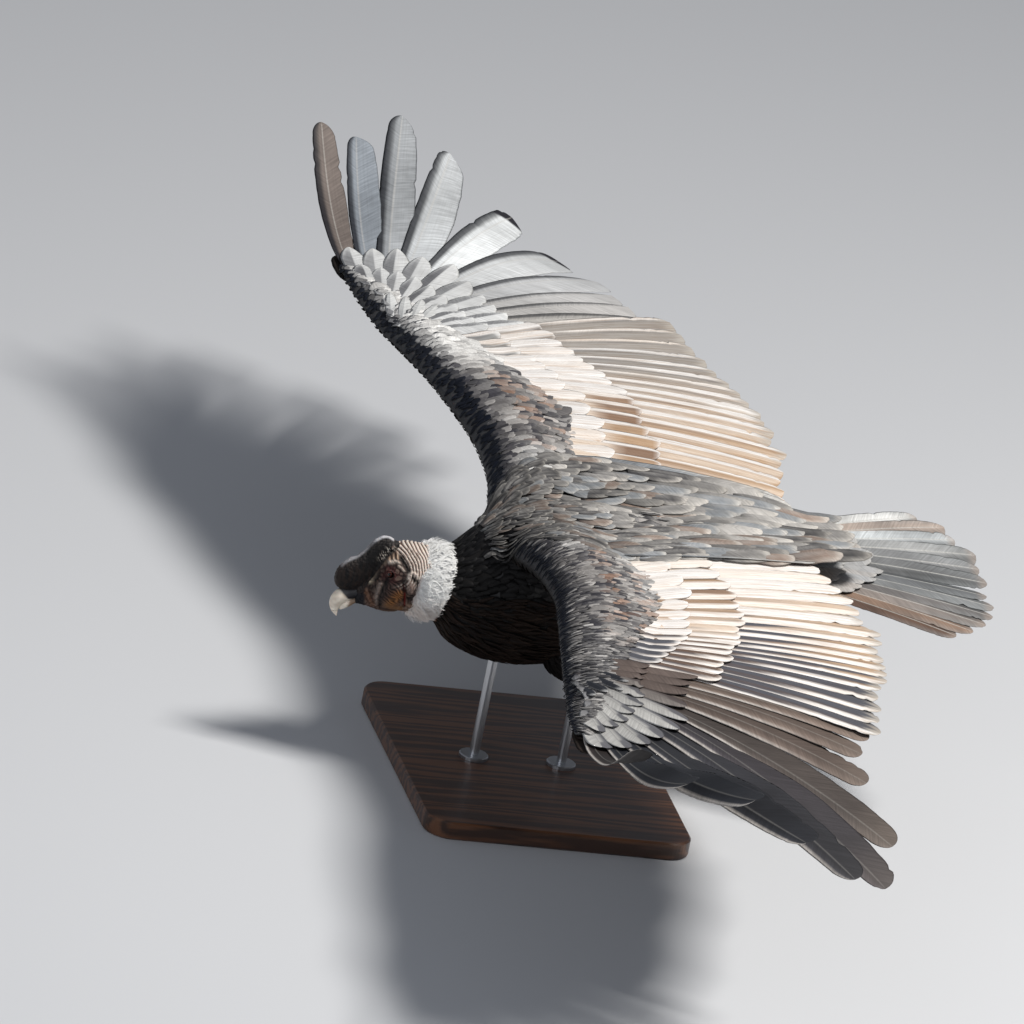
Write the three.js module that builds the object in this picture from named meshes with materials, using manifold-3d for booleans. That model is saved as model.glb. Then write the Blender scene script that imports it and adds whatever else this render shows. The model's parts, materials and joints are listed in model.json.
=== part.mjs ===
// Andean condor in level flight on a plain display stand, life size, in millimetres.
// +X is the bird's left, +Y runs aft toward the tail, +Z is up.
// The origin is the middle of the base's underside.
import * as THREE from 'three';
import { mergeVertices } from 'three/addons/utils/BufferGeometryUtils.js';
import Module from 'manifold-3d';

const wasm = await Module();
wasm.setup();

// Driving dimensions
const shoulderHeight = 420;
const shoulderAft = -75;
const gap = 0.3;
const baseSize = { wide: 560, deep: 440, high: 30, corner: 40, bevel: 3 };
const rodRadius = 8;
const flangeRadius = 24;
const flangeHeight = 6;
const rodAft = { front: -15, rear: 130 };
const rodSunk = 120;
const wingSpan = { shoulder: 30, wrist: 650, handEnd: 930 };
const wingThick = { shoulder: 46, wrist: 20, handEnd: 8 };
const headBack = -190;
const headFront = -262;
const ruffFront = -168;
const ruffBack = -128;
const ruffMiddle = -95;
const ruffSwell = 14;
const ruffLean = 14;
const tailRoot = 400;
const tailRoll = THREE.MathUtils.degToRad(10);
const eyeRadius = 7.5;
const eyePlace = [26, -220, -78];
const bodyPower = 2.2;
const mouth = { long: 26, high: 1.2, up: -134, tilt: THREE.MathUtils.degToRad(12) };
const nostril = { size: [3, 4.2, 2], place: [12, -270, -124] };

// Body sections from the ruff to the tail root: aft, top, bottom, half width
const torsoSections = [
  [ruffBack, -40, -160, 57],
  [-108, -27, -184, 70],
  [-75, 2, -200, 91],
  [-35, 32, -209, 108],
  [20, 48, -210, 117],
  [90, 51, -192, 116],
  [160, 50, -162, 108],
  [240, 47, -128, 98],
  [320, 41, -92, 84],
  [370, 34, -66, 77],
  [tailRoot, 28, -48, 71],
];
const ruffSections = [
  [ruffFront, -41, -149, 47],
  [-150, -37, -152, 54],
  [ruffBack, -41, -150, 55],
];
const neckFront = [headBack, -34, -148, 43];
const neckRear = [ruffFront, -36, -149, 47];
const neckFolds = { count: 3, high: 1.6 };
const headSections = [
  [headFront, -113, -145, 13],
  [-256, -107, -145, 16],
  [-245, -91, -146, 22],
  [-232, -66, -146, 30],
  [-220, -50, -147, 35],
  [-205, -38, -148, 39],
  [headBack, -34, -148, 42],
];
const combSections = [
  [-300, -101, -109, 4],
  [-296, -86, -118, 9],
  [-285, -73, -124, 12],
  [-270, -64, -126, 13],
  [-258, -51, -122, 13],
  [-248, -36, -112, 13],
  [-238, -28, -100, 12.5],
  [-228, -26, -84, 11.5],
  [-217, -30, -66, 9],
  [-209, -38, -54, 5],
];
const wattleSections = [
  [-246, -140, -148, 8],
  [-232, -138, -154, 14],
  [-214, -138, -157, 18],
  [-196, -138, -156, 17],
  [-192, -138, -154, 15],
];
// Folds and bulbs of the head's skin: aft, up and radius at places on its surface
const headFolds = [
  [[-222, -62, 1.5], [-234, -80, 2.6], [-246, -103, 1.8]],
  [[-229, -94, 1.2], [-230, -112, 2.8], [-226, -131, 2]],
  [[-207, -92, 1.5], [-205, -112, 3], [-209, -134, 2]],
];
const headBulbs = [[-198, -114, [5, 7, 16]], [-198, -77, [4.5, 6, 6]]];
const combKnobs = [[0, -211, -39], [8, -220, -40], [-8, -220, -40]];
const combKnobRadii = [6, 8, 6];
const tailSections = [
  [tailRoot, 28, -48, 69],
  [430, 22, -30, 65],
  [462, 18, -8, 57],
  [490, 13, 1, 46],
];

// Bill: aft, up, half depth across the path, half width
const upperBillPath = [
  [headFront, -125, 11.2, 12],
  [-276, -130, 12, 11],
  [-288, -138, 11, 9],
  [-294, -148, 8.5, 7],
  [-292, -159, 5, 4.2],
  [-285, -169, 1.2, 1.2],
];
const lowerBillPath = [
  [headFront, -141, 3.6, 10],
  [-270, -147, 4.6, 8.5],
  [-279, -157, 1.6, 3.6],
];

// Wing edges and feather roots and tips in out, aft, up about the shoulder line
const leadingEdge = [
  [40, -50, -12], [109, -48, 4], [200, -34, 16], [330, -36, 27], [480, -64, 40],
  [580, -82, 40], [650, -94, 37], [750, -108, 30], [850, -127, 42], [930, -136, 50],
];
const armRear = [[40, 118, 10], [109, 120, 38], [330, 118, 60], [480, 96, 66], [650, 32, 68]];
const handRear = [[650, 32, 68], [750, 6, 68], [850, -38, 56], [930, -86, 46]];
const secondaryRoots = [
  [217, 88, 52], [342, 92, 57], [440, 82, 60], [515, 62, 61], [565, 44, 62], [618, 22, 63],
];
const secondaryTips = [
  [136, 438, 46], [262, 472, 45], [400, 482, 46], [515, 472, 48], [624, 435, 55], [778, 400, 56],
];
const primaryRoots = [
  [676, 2, 64], [696, -7, 63], [718, -16, 62], [742, -25, 60], [768, -34, 59],
  [796, -44, 57], [825, -54, 55], [852, -66, 54], [880, -84, 52], [905, -108, 50],
];
const primaryTips = [
  [828, 372, 50], [889, 347, 47], [969, 340, 32], [1120, 357, -8], [1243, 323, -29],
  [1315, 249, 12], [1372, 142, 89], [1365, 48, 150], [1290, -43, 135], [1251, -116, 170],
];
const tertialRoots = [[96, 0, 30], [120, 34, 42], [146, 60, 52], [170, 76, 57], [192, 86, 60]];
const tertialTips = [[26, 310, 52], [44, 396, 49], [70, 444, 47], [97, 453, 47], [119, 438, 50]];
// Legs tucked back: out, aft, up
const thighPath = [[62, 40, -150], [62, 80, -176], [58, 130, -178], [50, 190, -160], [42, 235, -136]];
const thighRadii = [10, 34, 36, 26, 14];
const shankPath = [[42, 225, -139], [40, 270, -122], [37, 320, -106], [36, 338, -102]];
const shankRadii = [11, 10, 10, 10];
const toePath = [[36, 330, -103], [36, 365, -106], [36, 400, -108], [36, 430, -113], [36, 446, -124]];
const toeRadii = [8, 7, 6.5, 5, 0.8];
const toeSpread = [0, 9, 15, 18, 19];
const hindToePath = [[36, 330, -108], [36, 352, -118], [36, 366, -127], [36, 372, -137]];
const hindToeRadii = [6, 5.5, 4, 0.8];

// Tail feather roots and tips
const rectrixRoots = [[9, 446, 8], [38, 440, 8], [68, 418, 6]];
const rectrixTips = [[20, 767, -20], [62, 764, -16], [106, 751, -11], [144, 718, -6], [170, 676, -3]];

// Vane profiles: places along the shaft, and the share of the full width there
const longVane = { places: [0, 0.25, 0.55, 0.84, 0.96], widths: [0.35, 0.8, 1, 0.92, 0.62] };
const broadVane = { places: [0, 0.45, 0.96], widths: [0.42, 1, 0.7] };
const shortVane = { places: [0, 0.5, 0.9], widths: [0.5, 1, 0.72] };
const lockVane = { places: [0, 0.5], widths: [0.6, 1] };
const vaneEdge = 0.7;
const shaftRidge = 1;
const vaneCamber = 0.4;
const tierRise = 2.4;
const leadShare = 0.85;
const steepestTilt = 0.35;

// Finishes
const finish = (color, roughness = 0.8, metalness = 0) =>
  new THREE.MeshStandardMaterial({ color, roughness, metalness });
const blackPlumage = finish(0x1a1817);
const greyPlumage = finish(0x55524f);
const wingPlumage = finish(0xb9b2a6);
const flightPlumage = finish(0x2c2826);
const whiteDown = finish(0xf2efe9);
const greySkin = finish(0x3b322e, 0.6);
const combSkin = finish(0x211e1f, 0.6);
const ivoryHorn = finish(0xe4dccb, 0.4);
const eyeGloss = finish(0x3a1c14, 0.1);
const legSkin = finish(0x6b655f, 0.7);
const stainedWood = finish(0x4a3425, 0.5);
const brushedSteel = finish(0xa5a7a9, 0.35, 1);

// Shape helpers
const vec = (p) => new THREE.Vector3(p[0], p[1], p[2]);

function solidOf(geometry) {
  const bare = new THREE.BufferGeometry();
  bare.setAttribute('position', geometry.getAttribute('position'));
  if (geometry.index) bare.setIndex(geometry.index);
  const merged = mergeVertices(bare, 1e-4);
  const mesh = new wasm.Mesh({
    numProp: 3,
    vertProperties: new Float32Array(merged.getAttribute('position').array),
    triVerts: new Uint32Array(merged.index.array),
  });
  return new wasm.Manifold(mesh);
}

function closedMesh(points, faces) {
  let volume = 0;
  for (const [a, b, c] of faces) {
    volume += points[a].dot(points[b].clone().cross(points[c]));
  }
  const turned = volume < 0;
  const geometry = new THREE.BufferGeometry();
  geometry.setAttribute('position', new THREE.Float32BufferAttribute(
    points.flatMap((p) => [p.x, p.y, p.z]), 3));
  geometry.setIndex(faces.flatMap(([a, b, c]) => (turned ? [a, c, b] : [a, b, c])));
  return solidOf(geometry);
}

// Joins rings of equal length into one closed body, split alike on its left and right;
// a ring of one point is a tip
function loft(rings) {
  const points = rings.flat();
  const faces = [];
  let start = 0;
  for (let i = 0; i < rings.length - 1; i += 1) {
    const near = rings[i].length;
    const far = rings[i + 1].length;
    const next = start + near;
    const count = Math.max(near, far);
    for (let j = 0; j < count; j += 1) {
      const k = (j + 1) % count;
      const otherSide = j >= count / 4 && j < (count * 3) / 4;
      if (near === 1) faces.push([start, next + k, next + j]);
      else if (far === 1) faces.push([start + j, start + k, next]);
      else if (otherSide) faces.push([start + j, start + k, next + k], [start + j, next + k, next + j]);
      else faces.push([start + j, start + k, next + j], [start + k, next + k, next + j]);
    }
    start = next;
  }
  const last = rings[rings.length - 1];
  for (let j = 1; j < rings[0].length - 1; j += 1) faces.push([0, j + 1, j]);
  for (let j = 1; j < last.length - 1; j += 1) faces.push([start, start + j, start + j + 1]);
  return closedMesh(points, faces);
}

// Upright ring across the body, a little squarer than an ellipse
function bodyRing([aft, top, bottom, half], sides, grow = 0) {
  const ring = [];
  const middle = (top + bottom) / 2;
  const tall = (top - bottom) / 2 + grow;
  for (let i = 0; i < sides; i += 1) {
    const angle = (i / sides) * Math.PI * 2;
    const across = Math.cos(angle);
    const up = Math.sin(angle);
    const reach = (Math.abs(across) ** bodyPower + Math.abs(up) ** bodyPower) ** (-1 / bodyPower);
    ring.push(new THREE.Vector3(across * reach * (half + grow), aft, middle + up * reach * tall));
  }
  return ring;
}

function bodyLoft(sections, sides, grow = 0, cut = [0, 0]) {
  const rings = sections.map((section) => bodyRing(section, sides, grow));
  for (const point of rings[0]) point.y += cut[0];
  for (const point of rings[rings.length - 1]) point.y -= cut[1];
  return loft(rings);
}

// Round limb along a path with a radius at each point
function limb(path, radii, sides) {
  const rings = path.map((p, i) => {
    const before = vec(path[Math.max(i - 1, 0)]);
    const after = vec(path[Math.min(i + 1, path.length - 1)]);
    const along = after.sub(before).normalize();
    const across = new THREE.Vector3(1, 0, 0);
    across.addScaledVector(along, -across.dot(along)).normalize();
    const up = across.clone().cross(along);
    const ring = [];
    for (let j = 0; j < sides; j += 1) {
      const angle = (j / sides) * Math.PI * 2;
      ring.push(vec(p)
        .addScaledVector(across, Math.cos(angle) * radii[i])
        .addScaledVector(up, Math.sin(angle) * radii[i]));
    }
    return ring;
  });
  return loft(rings);
}

function ball(radii, place, wide = 12, high = 8) {
  const geometry = new THREE.SphereGeometry(1, wide, high);
  geometry.scale(radii[0], radii[1], radii[2]);
  geometry.translate(place[0], place[1], place[2]);
  return solidOf(geometry);
}

const fuse = (pieces) => wasm.Manifold.union(pieces);

const mirrored = (solid) => solid.mirror([1, 0, 0]);

function largest(solid) {
  const parts = solid.decompose();
  return parts.reduce((best, part) => (part.volume() > best.volume() ? part : best));
}

// Smooth line through points, straight on past both ends, at u from 0 to 1
function through(points, u) {
  const count = points.length - 1;
  const place = u * count;
  const i = Math.min(Math.max(Math.floor(place), 0), count - 1);
  const at = (k) => {
    if (k < 0) return vec(points[0]).multiplyScalar(2).sub(vec(points[1]));
    if (k > count) return vec(points[count]).multiplyScalar(2).sub(vec(points[count - 1]));
    return vec(points[k]);
  };
  if (place < 0) return at(0).lerp(at(1), place);
  if (place > count) return at(count - 1).lerp(at(count), place - count + 1);
  const f = place - i;
  const [a, b, c, d] = [at(i - 1), at(i), at(i + 1), at(i + 2)];
  return b.clone().multiplyScalar(2)
    .addScaledVector(c.clone().sub(a), f)
    .addScaledVector(a.clone().multiplyScalar(2).addScaledVector(b, -5)
      .addScaledVector(c, 4).sub(d), f * f)
    .addScaledVector(b.clone().multiplyScalar(3).sub(a).addScaledVector(c, -3).add(d), f ** 3)
    .multiplyScalar(0.5);
}

// A fan of feathers; line(k, t) is the middle of feather k from root to tip
function fan(count, roots, tips, arch, leads, trails, profile) {
  const value = (list, u) => through(list.map((item) => [item, 0, 0]), u).x;
  return {
    count,
    profile,
    lead: (k) => value(leads, k / (count - 1)),
    trail: (k) => value(trails, k / (count - 1)),
    line: (k, t) => {
      const u = k / (count - 1);
      const point = through(roots, u).lerp(through(tips, u), t);
      point.z += 4 * t * (1 - t) * value(arch, u);
      return point;
    },
  };
}

// Shorter feathers that lie on a fan, lifted off it
function cover(under, count, [first, last], [reachFirst, reachLast], start, [low, high], leads, trails) {
  const upper = fan(count, [[0, 0, 0], [0, 0, 0]], [[0, 0, 0], [0, 0, 0]], [0, 0],
    leads, trails, shortVane);
  upper.line = (k, t) => {
    const u = k / (count - 1);
    const reach = THREE.MathUtils.lerp(reachFirst, reachLast, u);
    const point = under.line(THREE.MathUtils.lerp(first, last, u), start + (reach - start) * t);
    point.z += THREE.MathUtils.lerp(low, high, t);
    return point;
  };
  return upper;
}

// The way from one feather to the next, raised so that each inner feather lies over the next
function webToward({ line }, k, next, t) {
  const step = 0.02;
  const along = line(k, t + step).sub(line(k, t - step)).normalize();
  const across = line(next, t).sub(line(k, t));
  across.addScaledVector(along, -across.dot(along));
  const pitch = across.length();
  const side = Math.sign(next - k);
  const tilt = Math.min(Math.atan(tierRise / pitch), steepestTilt);
  const level = across.normalize();
  const up = level.clone().cross(along).multiplyScalar(side);
  const web = level.multiplyScalar(Math.cos(tilt)).addScaledVector(up, Math.sin(tilt) * side);
  return { pitch, up, web };
}

// One feather: two webs that fall away from a raised shaft, split alike on both faces
function vane(feathers, k) {
  const { profile, line } = feathers;
  const points = [];
  const faces = [];
  const outermost = k === feathers.count - 1;
  profile.places.forEach((t, i) => {
    const outer = webToward(feathers, k, k + 1, t);
    const inner = webToward(feathers, k, k - 1, t);
    const widest = outermost ? Infinity : outer.pitch * leadShare;
    const lead = Math.min(feathers.lead(k) * profile.widths[i], widest);
    const trail = feathers.trail(k) * profile.widths[i];
    const up = outer.up.clone().add(inner.up).normalize();
    const at = (web, across, lift) =>
      line(k, t).addScaledVector(web, across).addScaledVector(up, lift);
    const half = vaneEdge / 2;
    points.push(
      at(outer.web, lead, half - vaneCamber), at(outer.web, 0, shaftRidge),
      at(inner.web, trail, half - vaneCamber), at(inner.web, trail, -half - vaneCamber),
      at(outer.web, 0, -half), at(outer.web, lead, -half - vaneCamber),
    );
  });
  const rings = profile.places.length;
  for (let i = 0; i < rings - 1; i += 1) {
    const a = i * 6;
    const b = a + 6;
    for (const [p, q] of [[0, 1], [1, 2]]) {
      faces.push([a + p, a + q, b + q], [a + p, b + q, b + p]);
      faces.push([a + 5 - p, b + 5 - q, a + 5 - q], [a + 5 - p, b + 5 - p, b + 5 - q]);
    }
    faces.push([a + 2, a + 3, b + 3], [a + 2, b + 3, b + 2]);
    faces.push([a + 5, a, b], [a + 5, b, b + 5]);
  }
  const last = (rings - 1) * 6;
  const tip = points.length;
  points.push(line(k, 1));
  for (let j = 0; j < 6; j += 1) faces.push([last + j, last + ((j + 1) % 6), tip]);
  faces.push([0, 4, 1], [0, 5, 4], [1, 4, 3], [1, 3, 2]);
  return closedMesh(points, faces);
}

const vanes = (feathers) => Array.from({ length: feathers.count }, (_, k) => vane(feathers, k));

// Thick front of the wing between two places along the span
function wingCore(from, to, rear, thickIn, thickOut) {
  const spans = 5;
  const rings = [];
  for (let i = 0; i <= spans; i += 1) {
    const out = THREE.MathUtils.lerp(from, to, i / spans);
    const front = edgeAt(leadingEdge, out);
    const back = edgeAt(rear, out);
    const thick = THREE.MathUtils.lerp(thickIn, thickOut, i / spans);
    const shape = [[0, 0, 0], [0.06, 0.5, -0.45], [0.2, 0.92, -0.62], [0.45, 1, -0.5],
      [0.75, 0.6, -0.3], [1, 0.12, -0.12]];
    const ring = [];
    for (const [along, top] of shape) {
      ring.push(front.clone().lerp(back, along).setX(out).add(new THREE.Vector3(0, 0, top * thick)));
    }
    for (const [along, , bottom] of shape.slice(1).reverse()) {
      ring.push(front.clone().lerp(back, along).setX(out).add(new THREE.Vector3(0, 0, bottom * thick)));
    }
    rings.push(ring);
  }
  return loft(rings);
}

// The point of an edge at a given distance out from the middle
function edgeAt(points, out) {
  let low = 0;
  let high = 1;
  for (let step = 0; step < 30; step += 1) {
    const middle = (low + high) / 2;
    if (through(points, middle).x < out) low = middle;
    else high = middle;
  }
  return through(points, low);
}

// Body
const torso = bodyLoft(torsoSections, 24);
const torsoRoom = bodyLoft(torsoSections, 24, gap, [-gap, -gap]);

// Neck skin gathered in raised rings
function neck(grow = 0) {
  const steps = neckFolds.count * 2;
  const sections = [];
  for (let i = 0; i <= steps; i += 1) {
    const [aft, top, bottom, half] = neckFront.map((value, j) =>
      THREE.MathUtils.lerp(value, neckRear[j], i / steps));
    const fold = (i % 2) * neckFolds.high;
    sections.push([aft, top + fold, bottom - fold, half + fold]);
  }
  return bodyLoft(sections, 20, grow, [-grow, -grow]);
}

// The point of the head's skin at a distance aft and a height
function headSkin(aft, up) {
  const i = headSections.findIndex((section) => section[0] > aft);
  const f = (aft - headSections[i - 1][0]) / (headSections[i][0] - headSections[i - 1][0]);
  const [, top, bottom, half] = headSections[i].map((value, j) =>
    THREE.MathUtils.lerp(headSections[i - 1][j], value, f));
  const high = Math.min(Math.abs(2 * up - top - bottom) / (top - bottom), 1);
  return [half * (1 - high ** bodyPower) ** (1 / bodyPower), aft, up];
}

// Lids, folds and bulbs of one side of the head
function headGrowths() {
  const [out, aft, up] = eyePlace;
  const lid = new THREE.TorusGeometry(eyeRadius - 0.3, 2.4, 4, 10);
  lid.rotateY(Math.PI / 2);
  lid.translate(out + 4.4, aft, up);
  const folds = headFolds.map((fold) => limb(
    fold.map(([y, z]) => headSkin(y, z)), fold.map(([, , radius]) => radius), 5));
  const bulbs = headBulbs.map(([y, z, radii]) => ball(radii, headSkin(y, z), 6, 5));
  return fuse([solidOf(lid), ...folds, ...bulbs]);
}

function head() {
  const socketRadius = eyeRadius + gap;
  const growths = headGrowths();
  const socket = ball([socketRadius, socketRadius, socketRadius], eyePlace, 12, 8);
  const slit = new THREE.BoxGeometry(50, mouth.long, mouth.high);
  slit.rotateX(mouth.tilt);
  slit.translate(0, headFront + 8, mouth.up);
  const skull = bodyLoft(headSections, 20, 0, [0, gap]);
  return largest(fuse([skull, growths, mirrored(growths)])
    .subtract(socket).subtract(mirrored(socket))
    .subtract(solidOf(slit)).subtract(neck(gap)));
}

// Fleshy comb from the bill to the crown, knobbed where it ends
function comb() {
  const room = bodyLoft(headSections, 20, gap, [-gap, 0]);
  const knobs = combKnobs.map((place) => ball(combKnobRadii, place, 7, 5));
  return largest(fuse([bodyLoft(combSections, 14), ...knobs]).subtract(room).subtract(billRoom()));
}

function billLoft(path, sides, grow = 0) {
  const rings = path.map(([aft, up, deep, half], i) => {
    const before = path[Math.max(i - 1, 0)];
    const after = path[Math.min(i + 1, path.length - 1)];
    const along = new THREE.Vector2(after[0] - before[0], after[1] - before[1]).normalize();
    if (i === 0) along.set(-1, 0);
    const ring = [];
    for (let j = 0; j < sides; j += 1) {
      const angle = (j / sides) * Math.PI * 2;
      const across = Math.cos(angle) * (half + grow);
      const high = Math.sin(angle) * (deep + grow);
      ring.push(new THREE.Vector3(across, aft + along.y * high, up - along.x * high));
    }
    return ring;
  });
  for (const point of rings[0]) point.y = headFront - gap + grow;
  return loft(rings);
}

const billRoom = () => billLoft(upperBillPath, 16, gap);

function upperBill() {
  let bill = billLoft(upperBillPath, 16);
  for (const side of [-1, 1]) {
    const [out, aft, up] = nostril.place;
    bill = bill.subtract(ball(nostril.size, [side * out, aft, up], 8, 5));
  }
  return bill;
}

function wattle() {
  const room = bodyLoft(headSections, 20, gap, [-gap, -gap]);
  return largest(bodyLoft(wattleSections, 12).subtract(room));
}

// Wings
const secondaries = fan(16, secondaryRoots, secondaryTips, [8, 9, 10], [24, 25, 27], [38, 40, 44], broadVane);
const primaries = fan(10, primaryRoots, primaryTips, [12, 14, 16, 24, 34, 22, -8, -26, -29, -38],
  [27, 28, 28, 27, 28, 28, 25, 24, 20, 20], [48, 50, 50, 50, 44, 38, 44, 39, 33, 26], longVane);
const tertials = fan(6, tertialRoots, tertialTips, [6, 6], [26, 26], [28, 28], broadVane);
const greaterCoverts = cover(secondaries, 11, [0.5, 15], [0.47, 0.36], -0.06, [4.5, 6], [24, 24], [33, 33]);
const medianCoverts = cover(secondaries, 9, [1, 14.6], [0.23, 0.17], -0.05, [8, 10.5], [23, 21], [31, 27]);
const primaryCoverts = cover(primaries, 8, [0.3, 8.6], [0.3, 0.27], -0.04, [4, 5.5], [20, 13], [28, 18]);
const scapulars = cover(tertials, 5, [0.2, 5], [0.42, 0.5], -0.1, [5, 7], [24, 24], [24, 24]);
const alula = fan(3, [[676, -84, 52], [690, -76, 58]], [[790, -86, 44], [772, -62, 70]], [4, 4],
  [10, 10], [14, 14], shortVane);

function arm() {
  const core = wingCore(wingSpan.shoulder, wingSpan.wrist - gap / 2, armRear,
    wingThick.shoulder, wingThick.wrist);
  const tiers = [secondaries, greaterCoverts, medianCoverts, tertials, scapulars].flatMap(vanes);
  return largest(fuse([core, ...tiers]).subtract(torsoRoom));
}

function hand() {
  const core = wingCore(wingSpan.wrist + gap / 2, wingSpan.handEnd, handRear,
    wingThick.wrist, wingThick.handEnd);
  const tiers = [primaries, primaryCoverts, alula].flatMap(vanes);
  return largest(fuse([core, ...tiers]));
}

// Legs tucked back under the tail
const thigh = (grow) => limb(thighPath, thighRadii.map((radius) => radius + grow), 14);

function foot() {
  const toes = [-1, 0, 1].map((turn) => limb(
    toePath.map(([out, aft, up], i) => [out + turn * toeSpread[i], aft, up]), toeRadii, 6));
  const hindToe = limb(hindToePath, hindToeRadii, 6);
  const shank = limb(shankPath, shankRadii, 8);
  return largest(fuse([shank, hindToe, ...toes]).subtract(thigh(gap)).subtract(torsoRoom));
}

// Tail
const rectrices = fan(6, rectrixRoots, rectrixTips, [4, 4], [24, 25, 25, 22], [19, 30, 34, 34], broadVane);
const tailCoverts = cover(rectrices, 4, [0, 4.6], [0.34, 0.26], -0.04, [4.5, 5.5], [20, 20], [10, 20, 20]);

function tail() {
  const core = bodyLoft(tailSections, 20, 0, [gap, 0]);
  const side = fuse([rectrices, tailCoverts].flatMap(vanes));
  return largest(fuse([core, side, mirrored(side)]));
}

// Ruff of down locks in two tiers round a plug in the neck, leaning forward at the throat
function ruffTier(count, [rootAft, rootRadius], [tipAft, tipRadius], half) {
  const locks = fan(count, [[0, 0, 0], [0, 0, 0]], [[0, 0, 0], [0, 0, 0]], [0, 0],
    [half, half], [half, half], lockVane);
  locks.line = (k, t) => {
    const angle = -(k / count) * Math.PI * 2;
    const radius = THREE.MathUtils.lerp(rootRadius, tipRadius, t) + ruffSwell * t * (1 - t);
    const aft = THREE.MathUtils.lerp(rootAft, tipAft, t) + ruffLean * Math.sin(angle) * t;
    return new THREE.Vector3(Math.cos(angle) * radius, aft, ruffMiddle + Math.sin(angle) * radius);
  };
  return locks;
}

function ruff() {
  const core = bodyLoft(ruffSections, 16, 0, [gap, gap]);
  const front = ruffTier(13, [-162, 45], [-141, 74], 14);
  const rear = ruffTier(15, [-148, 47], [-122, 79], 14);
  return largest(fuse([core, ...vanes(front), ...vanes(rear)]));
}

// Stand
function base() {
  const { wide, deep, high, corner, bevel } = baseSize;
  const shape = new THREE.Shape();
  const x = wide / 2 - bevel;
  const y = deep / 2 - bevel;
  shape.moveTo(-x + corner, -y);
  shape.lineTo(x - corner, -y);
  shape.absarc(x - corner, -y + corner, corner, -Math.PI / 2, 0);
  shape.absarc(x - corner, y - corner, corner, 0, Math.PI / 2);
  shape.absarc(-x + corner, y - corner, corner, Math.PI / 2, Math.PI);
  shape.absarc(-x + corner, -y + corner, corner, Math.PI, Math.PI * 1.5);
  const geometry = new THREE.ExtrudeGeometry(shape, {
    depth: high - bevel * 2, bevelSize: bevel, bevelThickness: bevel, bevelSegments: 1, curveSegments: 5,
  });
  geometry.translate(0, 0, bevel);
  return solidOf(geometry);
}

function rod(aft) {
  const top = shoulderHeight - rodSunk;
  const bottom = baseSize.high + gap;
  const chamfer = 1.5;
  const profile = [
    [0, bottom], [flangeRadius, bottom], [flangeRadius, bottom + flangeHeight - chamfer],
    [flangeRadius - chamfer, bottom + flangeHeight], [rodRadius, bottom + flangeHeight],
    [rodRadius, top], [0, top],
  ].map(([r, z]) => new THREE.Vector2(r, z));
  const geometry = new THREE.LatheGeometry(profile, 16);
  geometry.rotateX(Math.PI / 2);
  geometry.translate(0, aft + shoulderAft, 0);
  return solidOf(geometry).subtract(torsoRoom.translate([0, shoulderAft, shoulderHeight]));
}

// Scene graph
const condor = new THREE.Group();
const bird = new THREE.Group();
bird.position.set(0, shoulderAft, shoulderHeight);
condor.add(bird);

function addNode(parent, name, solid, material) {
  const { vertProperties, triVerts } = solid.getMesh();
  const geometry = new THREE.BufferGeometry();
  geometry.setAttribute('position', new THREE.BufferAttribute(new Float32Array(vertProperties), 3));
  geometry.setIndex(new THREE.BufferAttribute(new Uint32Array(triVerts), 1));
  geometry.computeVertexNormals();
  const mesh = new THREE.Mesh(geometry, material);
  mesh.name = name;
  parent.add(mesh);
}

addNode(bird, 'torso', torso, blackPlumage);
addNode(bird, 'ruff', ruff(), whiteDown);
addNode(bird, 'neck', neck(), greySkin);
addNode(bird, 'head', head(), greySkin);
addNode(bird, 'comb', comb(), combSkin);
addNode(bird, 'wattle', wattle(), greySkin);
addNode(bird, 'bill_upper', upperBill(), ivoryHorn);
addNode(bird, 'bill_lower', largest(billLoft(lowerBillPath, 12).subtract(billRoom())), ivoryHorn);

const tailGroup = new THREE.Group();
tailGroup.rotation.y = tailRoll;
bird.add(tailGroup);
addNode(tailGroup, 'tail', tail(), greyPlumage);

const armSolid = arm();
const handSolid = hand();
const thighSolid = largest(thigh(0).subtract(torsoRoom));
const footSolid = foot();
for (const [name, side] of [['left', 1], ['right', -1]]) {
  const half = new THREE.Group();
  half.scale.x = side;
  bird.add(half);
  addNode(half, `eye_${name}`, ball([eyeRadius, eyeRadius, eyeRadius], eyePlace, 12, 8), eyeGloss);
  addNode(half, `wing_${name}_arm`, armSolid, wingPlumage);
  addNode(half, `wing_${name}_hand`, handSolid, flightPlumage);
  addNode(half, `thigh_${name}`, thighSolid, blackPlumage);
  addNode(half, `foot_${name}`, footSolid, legSkin);
}

addNode(condor, 'stand_base', base(), stainedWood);
addNode(condor, 'stand_rod_front', rod(rodAft.front), brushedSteel);
addNode(condor, 'stand_rod_rear', rod(rodAft.rear), brushedSteel);

export default condor;
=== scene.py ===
import json
import math

import bmesh
import bpy
import numpy as np
from mathutils import Matrix, Vector

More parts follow.
